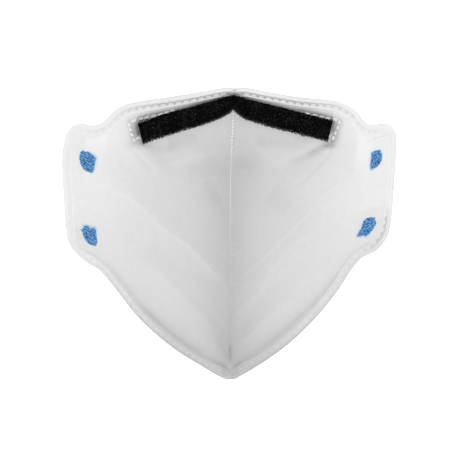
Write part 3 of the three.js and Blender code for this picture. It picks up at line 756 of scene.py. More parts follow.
def shell_side(side, sizes):
    """Weld and panel of one side, and the same below: points, and how grey they are, from pressed
    fabric and painted shade (below 0 a painted highlight).
    """
    count = sizes.teeth * STATIONS_PER_TOOTH
    rim, weld, weld_z, foot, s = rim_stations(side, count)
    width, *shape = (v[:, None] for v in table_at(EDGE_WELD[side], s))
    tip, tone = shape[0], shape[-1]
    low, lip = (v[:, None] for v in lip_at(side, rim[:, 1]))
    phase = (np.arange(count + 1) % STATIONS_PER_TOOTH / STATIONS_PER_TOOTH)[:, None]
    wall, rim_wall = sizes.wall / MM, sizes.rim_wall / MM
    from_end = np.minimum(s, s[-1] - s)[:, None]

    def weld_grid(column, under):
        w = np.where(column < 0, (column + 1) * LEDGE, LEDGE + column * (width - LEDGE))
        q = w / width
        x, y = between(rim, weld, q)
        flat = 1 - 0.6 * low
        z = weld_z + flat * (inner_z(x, y) - weld_z) + lip
        # The outer strip lies flatter than the teeth.
        strip = np.maximum(0, tip - BROW - w) / width
        z = z - 1.15 * flat * (inner_z(x, y) - inner_z(*between(rim, weld, q + strip)))
        relief, fused = weld_relief(w, width, *shape, phase)
        at_end = smoothstep(from_end, 0, 3)
        if under:
            z = z - upright_thickness(x, y, rim_wall + (wall - rim_wall) * q)
            z = z - 0.5 * relief * at_end * smoothstep(q, 0, 0.1)
            return np.stack([x, y, z], -1), fused
        ledge = np.where(column < 0, 1.0, 0.0)
        z = z + relief * at_end - (0.15 + 0.55 * low) * ledge
        # Painted shade from the table's last column, and on the ledge, most of all along the lower
        # edges.
        fused = tone + (fused - tone) * at_end + ledge * (0.08 + 0.75 * low)
        # Painted shade on the weld's outer strip outside the lip, and a painted highlight on its
        # end by the chin.
        fused = fused - 0.5 * low * bell(from_end, 0.7) * smoothstep(w, 0.8, 2)
        fused = fused + 0.13 * low * (1 - smoothstep(w, 1.2, 2.4)) * (1 - ledge)
        # On the right by the chin, painted shade on the outer strip and a painted highlight
        # further in.
        if side > 0:
            fused = fused + 0.3 * low * bell(from_end, 6) * (1 - 2 * smoothstep(w, 1.8, 3.4))
        return np.stack([x, y, z], -1), fused

    def panel_grid(t, under):
        w, f = weld[::2], foot[::2]
        length = np.linalg.norm(f - w, axis=1)[:, None]
        x, y = between(w, f, t)
        inside = t * length
        at_fold = CHIN_LIP * np.exp((CHIN_FOOT - f[:, 1:]) / LIP_REACH)
        lifted = lip[::2] * np.exp(-inside / LIP_REACH)
        z = inner_z(x, y) + lifted + (at_fold - lifted) * t ** 8
        inward = (f - w) / np.maximum(length, 1e-6)
        beside = smoothstep(np.abs(w[:, :1] - 0.4), 0, 3 if side < 0 else 9)
        back = wall_under_lip(inside, under) * low[::2] * beside * (1 - t)
        x, y = x - inward[:, :1] * back, y - inward[:, 1:] * back
        z = z + crease_relief(x, y) * (1 - np.exp(-inside / 2.5) * (1 - t ** 8))
        if under:
            return np.stack([x, y, z - upright_thickness(x, y, wall)], -1), np.zeros(x.shape)
        # Painted shade of the lip just inside the weld, fading inwards, or the grey round the
        # clip's weld and the painted shadow beside the foam's ends; the creases add painted
        # highlight and shade.
        fused = np.maximum(tone[::2] * np.exp(-inside / 1.5), pressed_and_shade_at(x, y))
        return np.stack([x, y, z], -1), fused - creases_at(x, y)[1]

    return (weld_grid(WELD_COLUMNS, False), panel_grid(panel_shares(PANEL_COLUMNS), False),
            weld_grid(WELD_COLUMNS[::2], True),
            panel_grid(panel_shares(UNDER_PANEL_COLUMNS), True))


def flat_position(x, y):
    """Position on the laid-flat fabric: distance from the fold along the cloth, and y."""
    _, steep, shallow, blend = section_at(y)
    u = np.abs(x - fold_x(y))
    length = np.zeros(np.shape(x))
    for k in range(12):
        slope = shallow + (steep - shallow) * np.exp(-u * (k + 0.5) / 12 / blend)
        length += np.sqrt(1 + slope ** 2) * u / 12
    return np.stack([np.sign(x - fold_x(y)) * length, y], -1)


def transition_faces(fine, coarse, flip):
    """Triangles between a fine row of points and a coarse one with every second station."""
    a, b, c = fine[:-2:2], fine[1:-1:2], fine[2::2]
    p, q = coarse[:-1], coarse[1:]
    faces = np.vstack([np.c_[a, b, p], np.c_[b, q, p], np.c_[b, c, q]])
    return faces[:, ::-1] if flip else faces


def painted_light_share_at(x, y):
    """Share of the fabric's own colour, the rest being painted shade: full on the lobes, least in
    the middle of the panels by the front fold."""
    u = np.abs(x - fold_x(y))
    height = 0.4 + 0.6 * smoothstep(y, -25, 30)
    return np.clip(smoothstep(u, 25, 78) * height + 0.15 * smoothstep(y, 40, 66), 0, 1)


def build_shell(sizes):
    """The fabric shell: both panels with their edge weld, and their outer faces below."""
    points, faces, values = [], [], []

    def add(grid, fused, flip):
        """Adds a grid of points with its faces, and returns the numbers of its points."""
        i = np.arange(fused.size).reshape(fused.shape) + sum(len(part) for part in points)
        points.append(grid.reshape(-1, 3))
        values.append(fused.ravel())
        faces.append(grid_faces(i, flip))
        return i

    for side in (-1, 1):
        # The grids of the two sides run opposite ways, so the right side's faces are turned.
        turn, turn_under = side > 0, side < 0
        weld, panel, under_weld, under_panel = (
            add(*grid, flip) for grid, flip in zip(shell_side(side, sizes),
                                                   (turn, turn, turn_under, turn_under)))
        faces.append(transition_faces(weld[:, -1], panel[:, 0], turn))
        faces.append(transition_faces(under_weld[:, -1], under_panel[:, 0], turn_under))
        faces.append(grid_faces(np.c_[under_weld[:, 0], weld[:, 0]], turn))
    kept, faces = joined(np.vstack(points), np.vstack(faces))
    points, values = np.vstack(points)[kept], np.concatenate(values)[kept]
    x, y = points[:, 0], points[:, 1]
    return mesh_object("filter_shell_fabric", points, faces, flat_position(x, y),
                       {"fused": values, "painted_light_share": painted_light_share_at(x, y)})


def finish_piece(obj, material, nodes):
    """Gives a piece its material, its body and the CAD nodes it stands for."""
    obj.data.materials.clear()
    obj.data.materials.append(material)
    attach(obj, "root")
    if nodes:
        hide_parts(*nodes)


# Materials.

def set_inputs(node, inputs):
    """Sets each input to a value, or links it to another node's output."""
    for key, value in inputs.items():
        if isinstance(value, bpy.types.NodeSocket):
            node.id_data.links.new(value, node.inputs[key])
        else:
            node.inputs[key].default_value = value


def add_node(tree, kind, inputs=None, **settings):
    """Adds one shader node with its settings and inputs."""
    node = tree.nodes.new("ShaderNode" + kind)
    for key, value in settings.items():
        setattr(node, key, value)
    set_inputs(node, inputs or {})
    return node


def new_material(name):
    """A material, its shader, and the call that adds a node to it."""
    material = bpy.data.materials.new(name)
    material.use_nodes = True
    tree = material.node_tree
    return material, tree.nodes["Principled BSDF"], partial(add_node, tree)


def spunbond_laminate(colours):
    """Spunbond polypropylene over melt-blown filter layers: matt, faintly fibrous white.
    Ultrasonic welding fuses the fibres, so the pressed spots are greyer and smoother. The same
    grey also serves as painted shade, and the weld's white as painted highlight."""
    material, shader, add = new_material("spunbond_polypropylene")
    uv = add("UVMap", uv_map="fabric").outputs["UV"]
    fused = add("Attribute", attribute_name="fused").outputs["Fac"]
    painted_light_share = add("Attribute", attribute_name="painted_light_share").outputs["Fac"]
    # Clouds of fibre about 3 mm wide, and bundles of fibres about 0.7 mm wide, coarser than
    # the real fibres so that they show.
    clouds = add("TexNoise", {"Vector": uv, "Scale": 350.0, "Detail": 3.0})
    fibres = add("TexNoise", {"Vector": uv, "Scale": 1500.0, "Detail": 4.0, "Roughness": 0.7})
    # Painted shade: the fabric darkens from the lobes towards the front fold, where less light
    # reaches.
    plain = add("Mix", {"Factor": painted_light_share, "A": colours.hollow_shade, "B": colours.fabric},
                data_type="RGBA")
    blend = add("Math", {0: clouds.outputs["Fac"], 1: fibres.outputs["Fac"]}, operation="ADD")
    tone = add("MapRange", {"Value": blend.outputs[0], "From Min": 0.7, "From Max": 1.3,
                            "To Min": 0.0, "To Max": 0.1})
    base = add("Mix", {"Factor": tone.outputs[0], "A": plain.outputs["Result"],
                       "B": colours.fused}, data_type="RGBA")
    # Grey where the welds pressed the fabric, and painted shade in the weld's groove, inside the
    # lips, beside the foam's ends and along some creases.
    pressed = add("Mix", {"Factor": fused, "A": base.outputs["Result"], "B": colours.fused},
                  data_type="RGBA")
    # Below 0 the attribute is a painted highlight in the weld's white: on the weld's crown, ridge
    # line and dots, along creases and at the nose.
    painted_highlight = add("Math", {0: fused, 1: -1.0}, operation="MULTIPLY", use_clamp=True)
    colour = add("Mix", {"Factor": painted_highlight.outputs[0], "A": pressed.outputs["Result"],
                         "B": colours.weld}, data_type="RGBA")
    rough = add("MapRange", {"Value": fused, "From Min": 0.0, "From Max": 1.0,
                             "To Min": 0.92, "To Max": 0.6})
    bump = add("Bump", {"Height": fibres.outputs["Fac"], "Strength": 0.3, "Distance": 0.0003})
    set_inputs(shader, {
        "Base Color": colour.outputs["Result"], "Roughness": rough.outputs[0],
        "Normal": bump.outputs[0], "IOR": 1.49, "Specular IOR Level": 0.3,
        "Sheen Weight": 0.08, "Sheen Roughness": 0.5})
    return material


def fused_weld(colours):
    """Polypropylene fused by the weld: the same white, smoother and a little brighter, and
    pressed thin and grey between the beads."""
    material, shader, add = new_material("fused_polypropylene")
    uv = add("UVMap", uv_map="fabric").outputs["UV"]
    gap = add("Attribute", attribute_name="gap").outputs["Fac"]
    # Specks about 0.8 mm wide, where single fibres are left.
    specks = add("TexNoise", {"Vector": uv, "Scale": 1200.0, "Detail": 2.0})
    bump = add("Bump", {"Height": specks.outputs["Fac"], "Strength": 0.2, "Distance": 0.0002})
    colour = add("Mix", {"Factor": gap, "A": colours.weld, "B": colours.fused},
                 data_type="RGBA")
    set_inputs(shader, {"Base Color": colour.outputs["Result"], "Normal": bump.outputs[0],
                        "Roughness": 0.6, "Specular IOR Level": 0.4})
    return material


# Front seam and the clip's weld spots.

SEAM_TOP, SEAM_BOTTOM, SEAM_STEP = 64.6, -3.0, 0.11
BEADS_FROM = 44.6  # beaded above this height, a plain line below
BEAD_PITCH = 1.65
SEAM_SIDES = 10
SPOT_HEIGHT, SPOT_HALF_WIDTH, SPOT_LEAN = 0.95, 0.78, 0.22
SPOT_BORDER, SPOT_FLOOR = 0.1, 0.02  # heights of its border and underside above the fabric


def build_front_seam():
    """The beaded weld that closes the top of the fold, running out as a thin line."""
    y = np.arange(SEAM_TOP, SEAM_BOTTOM, -SEAM_STEP)
    beads = smoothstep(y, BEADS_FROM, BEADS_FROM + 0.6)
    swell = np.abs(np.sin(math.pi * y / BEAD_PITCH)) ** 0.35
    half_width = (0.24 + beads * (0.5 * swell - 0.06)) * (0.2 + 0.8 * smoothstep(y, -2, 34))
    half_height = half_width * (1 - 0.35 * beads)
    keel, steep, *_ = section_at(y)
    height = keel + half_width * (0.35 + 0.65 * steep) + 0.25 * beads
    around = np.linspace(0, 2 * math.pi, SEAM_SIDES, endpoint=False)
    x = fold_x(y)[:, None] + half_width[:, None] * np.cos(around)
    z = height[:, None] + half_height[:, None] * np.sin(around)
    i = np.arange(x.size).reshape(x.shape)
    faces = np.vstack([tube_faces(i, flip=True), cap_faces(i[0], i[0, 0], flip=True),
                       cap_faces(i[-1], i[-1, 0])])
    points = np.stack([x, np.broadcast_to(y[:, None], x.shape), z], -1).reshape(-1, 3)
    gap = np.repeat(0.3 * beads * (1 - swell ** 3), SEAM_SIDES)
    return mesh_object("front_seam", points, faces, flat_position(points[:, 0], points[:, 1]),
                       {"gap": gap})


def build_clip_spots():
    """Raised, fused spots of the weld that holds the nose clip between the layers."""
    u, v = np.meshgrid(np.linspace(-1, 1, 11), np.linspace(-1, 1, 8), indexing="ij")
    rise = SPOT_HEIGHT * (1 - np.abs(u) ** 6) * (1 - np.abs(v) ** 4)
    parts = []
    for centre_x, centre_y, angle, length in CLIP_SPOTS:
        along = (u + SPOT_LEAN * v) * length / 2
        x, y = turned(along, v * SPOT_HALF_WIDTH, math.radians(angle))
        x, y = x + centre_x, y + centre_y
        base = inner_z(x, y) + crease_relief(x, y)
        parts.append(solid_from_grids(np.stack([x, y, base + SPOT_BORDER + rise], -1),
                                      np.stack([x, y, base + SPOT_FLOOR], -1)))
    points, faces = joined_parts(parts)
    return mesh_object("clip_weld_spots", points, faces, flat_position(points[:, 0], points[:, 1]),
                       {"gap": np.zeros(len(points))})


class RESPIRATOR_OT_shell(bpy.types.Operator):
    """Build the fabric shell with its edge weld and creases"""

    bl_idname = "respirator.shell"
    bl_label = "Filter shell"

    def execute(self, context):
        shell = build_shell(context.scene.respirator_sizes)
        material = spunbond_laminate(context.scene.respirator_colours)
        finish_piece(shell, material, ["filter_shell"])
        weld = fused_weld(context.scene.respirator_colours)
        marks = [build_front_seam(), build_clip_spots()]
        for piece in marks:
            finish_piece(piece, weld, [])
        return {"FINISHED"}


# Nose foam.

FOAM_STEPS, FOAM_ROWS = 560, 36
FOAM_SEAT = 0.45  # height of its underside above the plain inner face
FOAM_SWELL = 0.25  # how much its top stands up where it isn't pressed
FOAM_SLUMP, FOAM_SLUMP_REACH = 0.3, 0.7  # share of its thickness lost at the border
RAGGED_REACH = 0.45
SHREDS = ((FOAM_EDGES[:, :2], 1, 45), (FOAM_EDGES[:, 2:], -1, 120))  # edge, way out, number
SHRED_RADIUS = 0.25


def build_foam(sizes):
    """The nose pad: a die-cut strip of open-cell foam, bent over the seam."""
    along = lengths_along(FOAM_EDGES[:, :2])
    steps = np.linspace(0, along[-1], FOAM_STEPS)
    top_x, top_y, low_x, low_y = points_at(FOAM_EDGES, along, steps).T[..., None]
    v = np.linspace(0, 1, FOAM_ROWS)[None, :]
    x, y = low_x + (top_x - low_x) * v, low_y + (top_y - low_y) * v
    width = np.hypot(top_x - low_x, top_y - low_y)
    rough = 0.16 * soft_noise(x, y, 0.6, 3) + 0.12 * soft_noise(x, y, 2.4, 4)
    at_side = np.minimum(v, 1 - v) * width
    at_end = np.minimum(steps, steps[-1] - steps)[:, None]
    border = np.minimum(at_side, at_end)
    # Its edges are ragged, most of all the lower one.
    ragged = np.exp(-border / RAGGED_REACH) * (1 - 0.5 * smoothstep(v, 0.4, 0.6))
    x = x + 0.3 * ragged * soft_noise(x, y, 0.5, 8)
    y = y + 0.65 * ragged * soft_noise(x, y, 0.48, 9)
    base = inner_z(x, y) + FOAM_SEAT
    thick = upright_thickness(x, y, sizes.foam / MM) + FOAM_SWELL
    slump = FOAM_SLUMP * np.exp(-border / FOAM_SLUMP_REACH)
    slump = slump + 0.16 * np.exp(-(1 - v) * width / 1.5)  # more along the upper edge
    top = base + thick * (1 - slump) + rough * (1 - 0.5 * ragged)
    seat = base - 2 * foam_end_groove(x, y)
    points, faces = solid_from_grids(np.stack([x, y, top], -1), np.stack([x, y, seat], -1))
    # Torn cells show along the lower edge of the top, and none on the side walls.
    from_edge, _ = distance_to_line(x, y, FOAM_EDGES[:, 2:])
    cut = np.r_[bell(from_edge, 0.8).ravel(), np.full(from_edge.size, -0.6)]
    return mesh_object("nose_foam_pad", points, faces, values={"cut": cut}, smooth_angle=50)


def foam_fibres():
    """Shreds of foam left where it was cut, most of them along the lower edge."""
    rng = np.random.default_rng(7)
    starts, directions = [], []
    along = lengths_along(FOAM_EDGES[:, :2])
    for edge, outward, count in SHREDS:
        for s in (np.arange(count) + rng.uniform(0.1, 0.9, count)) * along[-1] / count:
            x, y = points_at(edge, along, s)
            z = inner_z(np.array([x]), np.array([y]))[0] + rng.uniform(1.0, 3.0)
            starts.append((x, y - outward * 0.6, z))
            directions.append((rng.uniform(-0.7, 0.7), outward, rng.uniform(-0.1, 0.4)))
    starts, directions = np.array(starts), np.array(directions)
    directions /= np.linalg.norm(directions, axis=1)[:, None]
    lengths = rng.uniform(0.7, 1.6, len(starts))
    points, faces = fibre_solids(starts, directions, lengths, SHRED_RADIUS, seed=8)
    return mesh_object("nose_foam_fibres", points, faces, values={"cut": np.ones(len(points))})


def open_cell_foam(colours):
    """Open-cell polyurethane foam, dyed black: dull, with fine cells that catch the light."""
    material, shader, add = new_material("open_cell_polyurethane_foam")
    position = add("TexCoord").outputs["Object"]
    cut = add("Attribute", attribute_name="cut").outputs["Fac"]
    # Cells about 0.7 mm wide, twice the usual size so that they show.
    cells = add("TexVoronoi", {"Vector": position, "Scale": 1400.0})
    specks = add("TexNoise", {"Vector": position, "Scale": 1600.0, "Detail": 3.0,
                              "Roughness": 0.75})
    # Patches about 6 mm wide where the cut left more of the cell walls standing.
    patches = add("TexNoise", {"Vector": position, "Scale": 160.0, "Detail": 2.0,
                               "Roughness": 0.5})
    walls = add("Math", {0: patches.outputs["Fac"], 1: 0.11, 2: specks.outputs["Fac"]},
                operation="MULTIPLY_ADD")
    # Torn cells along the lower cut edge stand up and catch more light.
    torn = add("Math", {0: cut, 1: 0.1, 2: walls.outputs[0]}, operation="MULTIPLY_ADD")
    lightest = add("Math", {0: cut, 1: 0.74, 2: 0.26}, operation="MULTIPLY_ADD")
    tone = add("MapRange", {"Value": torn.outputs[0], "From Min": 0.62, "From Max": 0.82,
                            "To Min": 0.0, "To Max": lightest.outputs[0]})
    colour = add("Mix", {"Factor": tone.outputs[0], "A": colours.foam, "B": colours.foam_light},
                 data_type="RGBA")
    bump = add("Bump", {"Height": cells.outputs["Distance"], "Strength": 0.8,
                        "Distance": 0.0004})
    set_inputs(shader, {"Base Color": colour.outputs["Result"], "Normal": bump.outputs[0],
                        "Roughness": 1.0, "Specular IOR Level": 0.02})
    return material


class RESPIRATOR_OT_foam(bpy.types.Operator):
    """Build the black foam pad inside the nose and the shreds at its cut edges"""

    bl_idname = "respirator.foam"
    bl_label = "Nose foam"

    def execute(self, context):
        material = open_cell_foam(context.scene.respirator_colours)
        pad = build_foam(context.scene.respirator_sizes)
        finish_piece(pad, material, ["nose_foam"])
        finish_piece(foam_fibres(), material, [])
        return {"FINISHED"}


# Headbands.

ON_WALL = 6.5  # length that lies flat under the lobe, each way from the end's middle
LANDING = 36  # distance from the fold at which the band has come down to the ground
STIFF_REACH = 14  # how far the band keeps its direction where it leaves the lobe
SLACK_REACH = 34  # how far the slack bulges outwards above the landing
WALL_GAP = 0.6  # gap between the band and the outer face of the lobe
WALL_ROWS, DROP_ROWS, GROUND_ROWS, BAND_COLUMNS = 22, 110, 60, 25
CORDS = 5
WEFT_PITCH = 1.6
END_POINTS = 96
END_BORDER, END_DOME, END_FLOOR = 0.12, 0.38, 0.03  # heights above the fabric
END_RIB_PITCH, END_RIB_HEIGHT, END_LUMPS = 1.15, 0.05, 0.18
FRINGE_GAP = 0.12  # from the body of the end to where its fringe starts
FRAYED_FIBRES, FRAYED_RADIUS = 220, 0.06


def band_side(side, end_x, end_y, width, thickness):
    """Points of the band's lower face on one side, as rows across it, from the welded end
    to where it has landed."""
    across = end_y + np.linspace(-0.5, 0.5, BAND_COLUMNS) * width
    out_x, in_x = end_x + side * ON_WALL, end_x - side * ON_WALL

    def under_wall(x, y):
        return outer_z(x, y) - WALL_GAP - thickness

    x, y = np.broadcast_arrays(np.linspace(out_x, in_x, WALL_ROWS)[:, None], across)
    on_wall = np.stack([x, y, under_wall(x, y)], -1)
    middle = under_wall(np.array([in_x, in_x + side]), np.array([end_y, end_y]))
    leaves, slope = middle[0], middle[1] - middle[0]
    reach = abs(in_x)
    p = np.array([[reach, leaves], [reach - STIFF_REACH, leaves - STIFF_REACH * slope],
                  [LANDING + SLACK_REACH, 0], [LANDING, 0]])
    t = np.linspace(0, 1, DROP_ROWS)[1:, None]
    drop = ((1 - t) ** 3 * p[0] + 3 * t * (1 - t) ** 2 * p[1] + 3 * t * t * (1 - t) * p[2]
            + t ** 3 * p[3])
    twist = (1 - t) ** 2 * (under_wall(*np.broadcast_arrays(in_x, across)) - leaves)
    x, y = np.broadcast_arrays(side * drop[:, :1], across)
    return np.vstack([on_wall, np.stack([x, y, drop[:, 1:] + twist], -1)])


def build_band(name, ends, outlines, sizes):
    """One headband: the woven strap under the shell and its two welded ends."""
    left_x, left_y, right_x, right_y = ends
    width, thickness = sizes.band_width / MM, sizes.band_thickness / MM
    left = band_side(-1, left_x, left_y, width, thickness)
    right = band_side(1, right_x, right_y, width, thickness)[::-1]
    bridge = np.linspace(0, 1, GROUND_ROWS)[1:-1, None, None]
    rows = np.vstack([left, left[-1] + (right[0] - left[-1]) * bridge, right])
    step = np.linalg.norm(np.diff(rows[:, BAND_COLUMNS // 2], axis=0), axis=1)
    along = np.r_[0, np.cumsum(step)][:, None]
    v = np.linspace(-1, 1, BAND_COLUMNS)[None, :]
    ahead = np.gradient(rows, axis=0)
    length = np.hypot(ahead[..., 0], ahead[..., 2])
    normal = np.stack([-ahead[..., 2] / length, np.zeros_like(length), ahead[..., 0] / length], -1)
    # Cords run along the band, crossed by the weft, and its selvedges are thinner.
    weft = np.cos(along * 2 * math.pi / WEFT_PITCH) * np.cos(v * 10)
    cords = 0.1 * np.cos(v * CORDS * math.pi) + 0.05 * weft
    body = 1 - 0.45 * np.abs(v) ** 8
    top = rows + normal * (thickness * (0.5 + 0.42 * body) + cords)[..., None]
    under = rows + normal * (thickness * (0.5 - 0.42 * body) - cords)[..., None]
    under[..., 2] = np.maximum(under[..., 2], 0.0)
    points, faces = solid_from_grids(top, under)
    uv = np.tile(np.stack(np.broadcast_arrays(along, v * width / 2), -1).reshape(-1, 2), (2, 1))
    parts = [(points, faces, uv, np.full(len(points), -1.0))]
    for k, (outline, angle, frayed) in enumerate(outlines):
        parts += welded_end(outline, angle, frayed,
                            seed=len(name) * 10 + k * 7 + int(abs(left_y)))
    points, faces, uv, loose = joined_parts(parts)
    band = mesh_object(name + "_elastic", points, faces, uv, {"loose": loose})
    return band, float(along[-1, 0]) * MM


def closed_curve(points, count):
    """Even points on a closed smooth curve through the points."""
    p = np.array(points, float)
    dense = []
    for i in range(len(p)):
        p0, p1, p2, p3 = (p[(i + k) % len(p)] for k in (-1, 0, 1, 2))
        u = np.linspace(0, 1, 16, endpoint=False)[:, None]
        dense.append(0.5 * (2 * p1 + (p2 - p0) * u + (2 * p0 - 5 * p1 + 4 * p2 - p3) * u ** 2
                            + (3 * p1 - p0 - 3 * p2 + p3) * u ** 3))
    dense = np.vstack([*dense, dense[0][:1]])
    along = lengths_along(dense)
    return points_at(dense, along, np.linspace(0, along[-1], count, endpoint=False))


def welded_end(outline, angle, frayed, seed):
    """The end of a band welded to the inner face: a ribbed patch with a frayed border."""
    rng = np.random.default_rng(seed)
    border = closed_curve(outline, END_POINTS)[::-1]
    middle = border.mean(axis=0)
    outward = border - middle
    reach = np.linalg.norm(outward, axis=1)
    outward /= reach[:, None]
    lean = math.radians(frayed)
    facing = outward @ (math.cos(lean), math.sin(lean))

    def local(x, y):
        return turned(x - middle[0], y - middle[1], -math.radians(angle))

    # The yarns spread into a thin pale fringe, widest on the frayed side.
    fringe = (0.3 + 0.8 * np.clip(facing + 0.2, 0, 1)) * rng.uniform(0.5, 1.3, END_POINTS)
    shares = np.r_[np.linspace(0.06, 0.9, 15), 0.95, 1.0]
    body = (reach - 0.05) * (1 + 0.03 * rng.standard_normal(END_POINTS))
    distance = np.vstack([shares[:, None] * body, body + FRINGE_GAP, body + FRINGE_GAP + fringe])
    x = middle[0] + distance * outward[:, 0]
    y = middle[1] + distance * outward[:, 1]
    local_x, local_y = local(x, y)
    base = inner_z(x, y) + crease_relief(x, y)
    wavy = local_y * 2 * math.pi / END_RIB_PITCH + 0.6 * np.sin(local_x * 2.2)
    rough = END_RIB_HEIGHT * np.sin(wavy) + END_LUMPS * soft_noise(x, y, 0.9, seed)
    dome = np.r_[1 - shares ** 7, 0, 0][:, None]
    top = base + END_BORDER + END_DOME * dome + rough * (0.25 + 0.75 * dome)
    top[-1] = base[-1] + 2 * END_FLOOR
    floor = base + END_FLOOR
    grid = np.vstack([np.stack([x, y, top], -1), np.stack([x, y, floor], -1)[::-1]])
    i = 1 + np.arange(grid[..., 0].size).reshape(grid.shape[:2])
    centre_z = inner_z(middle[:1], middle[1:])[0]
    faces = np.vstack([tube_faces(i), cap_faces(i[0], 0), cap_faces(i[-1], i.size + 1, flip=True)])
    points = np.vstack([[*middle, centre_z + END_BORDER + END_DOME], grid.reshape(-1, 3),
                        [*middle, centre_z + END_FLOOR]])
    # The outermost rings, above and below, are pale.
    pale = np.zeros(i.shape)
    pale[len(shares):len(shares) + 4] = 1
    uv = np.stack(local(points[:, 0], points[:, 1]), -1)
    patch = (points, faces, uv, np.r_[0, pale.ravel(), 0])

    count = FRAYED_FIBRES
    weight = 0.1 + np.clip(facing + 0.1, 0, 1) ** 1.5
    picks = rng.choice(END_POINTS, size=count, p=weight / weight.sum())
    spots = border[picks] - outward[picks] * rng.uniform(0.1, 0.5, count)[:, None]
    z = inner_z(spots[:, 0], spots[:, 1]) + rng.uniform(0.12, 0.4, count)
    spin = rng.uniform(-1.0, 1.0, count)
    ways = np.column_stack([*turned(*outward[picks].T, spin), rng.uniform(0, 0.3, count)])
    lengths = rng.uniform(0.4, 1.0, count) * (0.5 + 0.7 * np.clip(facing[picks], 0, 1))
    points, faces = fibre_solids(np.c_[spots, z], ways, lengths, FRAYED_RADIUS, seed + 1)
    uv = np.stack(local(points[:, 0], points[:, 1]), -1)
    return [patch, (points, faces, uv, np.ones(len(points)))]


def woven_elastic(colours):
    """Woven elastic of blue polyester yarn over rubber: soft, ribbed, darker in its gaps.
    Its cut ends fray into paler single fibres."""
    material, shader, add = new_material("woven_polyester_elastic")
    uv = add("UVMap", uv_map="fabric").outputs["UV"]
    loose = add("Attribute", attribute_name="loose").outputs["Fac"]
    # Yarns lie 1.1 mm apart, coarser than the real 0.6 mm so that they show; the weave makes
    # short light and dark dashes along them.
    ribs = add("TexWave", {"Vector": uv, "Scale": 290.0, "Distortion": 4.0, "Detail": 2.0,
                           "Detail Scale": 2.5, "Detail Roughness": 0.7}, bands_direction="Y")
    stretched = add("Mapping", {"Vector": uv, "Scale": (700, 1200, 1)})
    specks = add("TexNoise", {"Vector": stretched.outputs[0], "Scale": 1.0, "Detail": 3.0,
                              "Roughness": 0.65})
    # The free strap shows its ribs; the pressed ends only mottles.
    weave = add("MapRange", {"Value": loose, "From Min": -1.0, "From Max": 0.0,
                             "To Min": 0.35, "To Max": 0.12})
    rib = add("Math", {0: ribs.outputs["Fac"], 1: 0.5}, operation="SUBTRACT")
    blend = add("Math", {0: rib.outputs[0], 1: weave.outputs[0], 2: specks.outputs["Fac"]},
                operation="MULTIPLY_ADD")
    tone = add("MapRange", {"Value": blend.outputs[0], "From Min": 0.41, "From Max": 0.65})
    yarn = add("Mix", {"Factor": tone.outputs[0], "A": colours.elastic_dark,
                       "B": colours.elastic}, data_type="RGBA")
    colour = add("Mix", {"Factor": loose, "A": yarn.outputs["Result"], "B": colours.fibre},
                 data_type="RGBA")
    bump = add("Bump", {"Height": blend.outputs[0], "Strength": 0.6, "Distance": 0.0003})
    set_inputs(shader, {"Base Color": colour.outputs["Result"], "Normal": bump.outputs[0],
                        "Roughness": 0.85, "Specular IOR Level": 0.25, "Sheen Weight": 0.15})
    return material


class RESPIRATOR_OT_headbands(bpy.types.Operator):
    """Build the two woven headbands with their welded, frayed ends"""

    bl_idname = "respirator.headbands"
    bl_label = "Headbands"

    def execute(self, context):
        material = woven_elastic(context.scene.respirator_colours)
        sizes = context.scene.respirator_sizes
        for node, ends in BAND_ENDS.items():
            band, length = build_band(node, ends, END_OUTLINES[node], sizes)
            finish_piece(band, material, [node])
        return {"FINISHED"}


# Stage.

# Lights round the object: name, azimuth from +Y and elevation in degrees, power in watts.
SOFTBOXES = (
    ("left_softbox", -90, 20, 12),
    ("right_softbox", 90, 20, 12),
    ("back_left_softbox", -45, 20, 10),
    ("back_right_softbox", 45, 20, 8),
    ("back_high_softbox", 0, 50, 14),
    ("front_low_softbox", 180, 20, 13),
    ("front_high_softbox", 180, 50, 17),
)
SOFTBOX_SIZE = 1.2
SOFTBOX_DISTANCE = 2.6
FLOOR_SIZE = 8
FLOOR_Z = -0.0005
CAMERA_PLACE = (-0.0023, 0.0044, 2.2)
CAMERA_LENS, CAMERA_SENSOR = 337.6, 36  # millimetres
CAMERA_CLIP_END = 20


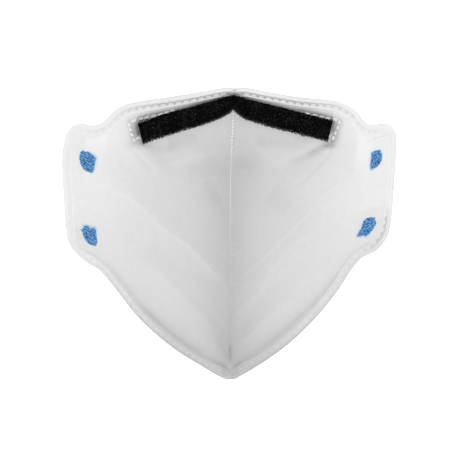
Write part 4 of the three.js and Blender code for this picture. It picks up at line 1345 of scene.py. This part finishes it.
class RESPIRATOR_OT_stage(bpy.types.Operator):
    """Build the floor, the lights and the camera"""

    bl_idname = "respirator.stage"
    bl_label = "Stage"

    def execute(self, context):
        colours = context.scene.respirator_colours
        bpy.ops.object.select_all(action="DESELECT")
        bpy.ops.mesh.primitive_plane_add(size=FLOOR_SIZE, location=(0, 0, FLOOR_Z))
        floor = context.object
        floor.name = "floor"
        material, shader, _ = new_material("pale_matt_paper")
        set_inputs(shader, {"Base Color": colours.floor, "Roughness": 0.9,
                            "Emission Color": WHITE, "Emission Strength": 0.6})
        floor.data.materials.append(material)

        world = bpy.data.worlds.new("soft_studio")
        context.scene.world = world
        world.use_nodes = True
        set_inputs(world.node_tree.nodes["Background"], {"Color": WHITE, "Strength": 0.37})

        for name, azimuth, elevation, power in SOFTBOXES:
            light = bpy.data.lights.new(name, "AREA")
            light.shape = "DISK"
            light.size = SOFTBOX_SIZE
            light.energy = power
            lamp = bpy.data.objects.new(name, light)
            around, above = math.radians(azimuth), math.radians(elevation)
            lamp.location = SOFTBOX_DISTANCE * Vector((
                math.sin(around) * math.cos(above), math.cos(around) * math.cos(above),
                math.sin(above)))
            lamp.rotation_euler = lamp.location.to_track_quat("Z", "Y").to_euler()
            context.scene.collection.objects.link(lamp)

        camera_data = bpy.data.cameras.new("camera")
        camera_data.sensor_width = CAMERA_SENSOR
        camera_data.lens = CAMERA_LENS
        camera_data.clip_end = CAMERA_CLIP_END
        camera = bpy.data.objects.new("camera", camera_data)
        camera.location = CAMERA_PLACE
        context.scene.collection.objects.link(camera)
        context.scene.camera = camera
        context.scene.view_settings.view_transform = "Standard"
        return {"FINISHED"}


class RESPIRATOR_PT_parts(bpy.types.Panel):
    """Lists the pieces, their sizes and their colours"""

    bl_idname = "RESPIRATOR_PT_parts"
    bl_label = "Respirator"
    bl_space_type = "VIEW_3D"
    bl_region_type = "UI"
    bl_category = "Respirator"

    def draw(self, context):
        layout = self.layout
        for group in (context.scene.respirator_sizes, context.scene.respirator_colours):
            box = layout.box()
            for key in group.__annotations__:
                box.prop(group, key)
        for operator in OPERATORS:
            layout.operator(operator.bl_idname)


OPERATORS = (
    RESPIRATOR_OT_shell,
    RESPIRATOR_OT_foam,
    RESPIRATOR_OT_headbands,
    RESPIRATOR_OT_stage,
)
CLASSES = (RespiratorSizes, RespiratorColours, *OPERATORS, RESPIRATOR_PT_parts)


def register():
    for cls in CLASSES:
        bpy.utils.register_class(cls)
    bpy.types.Scene.respirator_sizes = PointerProperty(type=RespiratorSizes)
    bpy.types.Scene.respirator_colours = PointerProperty(type=RespiratorColours)


def unregister():
    del bpy.types.Scene.respirator_colours
    del bpy.types.Scene.respirator_sizes
    for cls in reversed(CLASSES):
        bpy.utils.unregister_class(cls)


def main():
    register()
    bpy.ops.respirator.shell()
    bpy.ops.respirator.foam()
    bpy.ops.respirator.headbands()
    bpy.ops.respirator.stage()


if __name__ == "__main__":
    main()
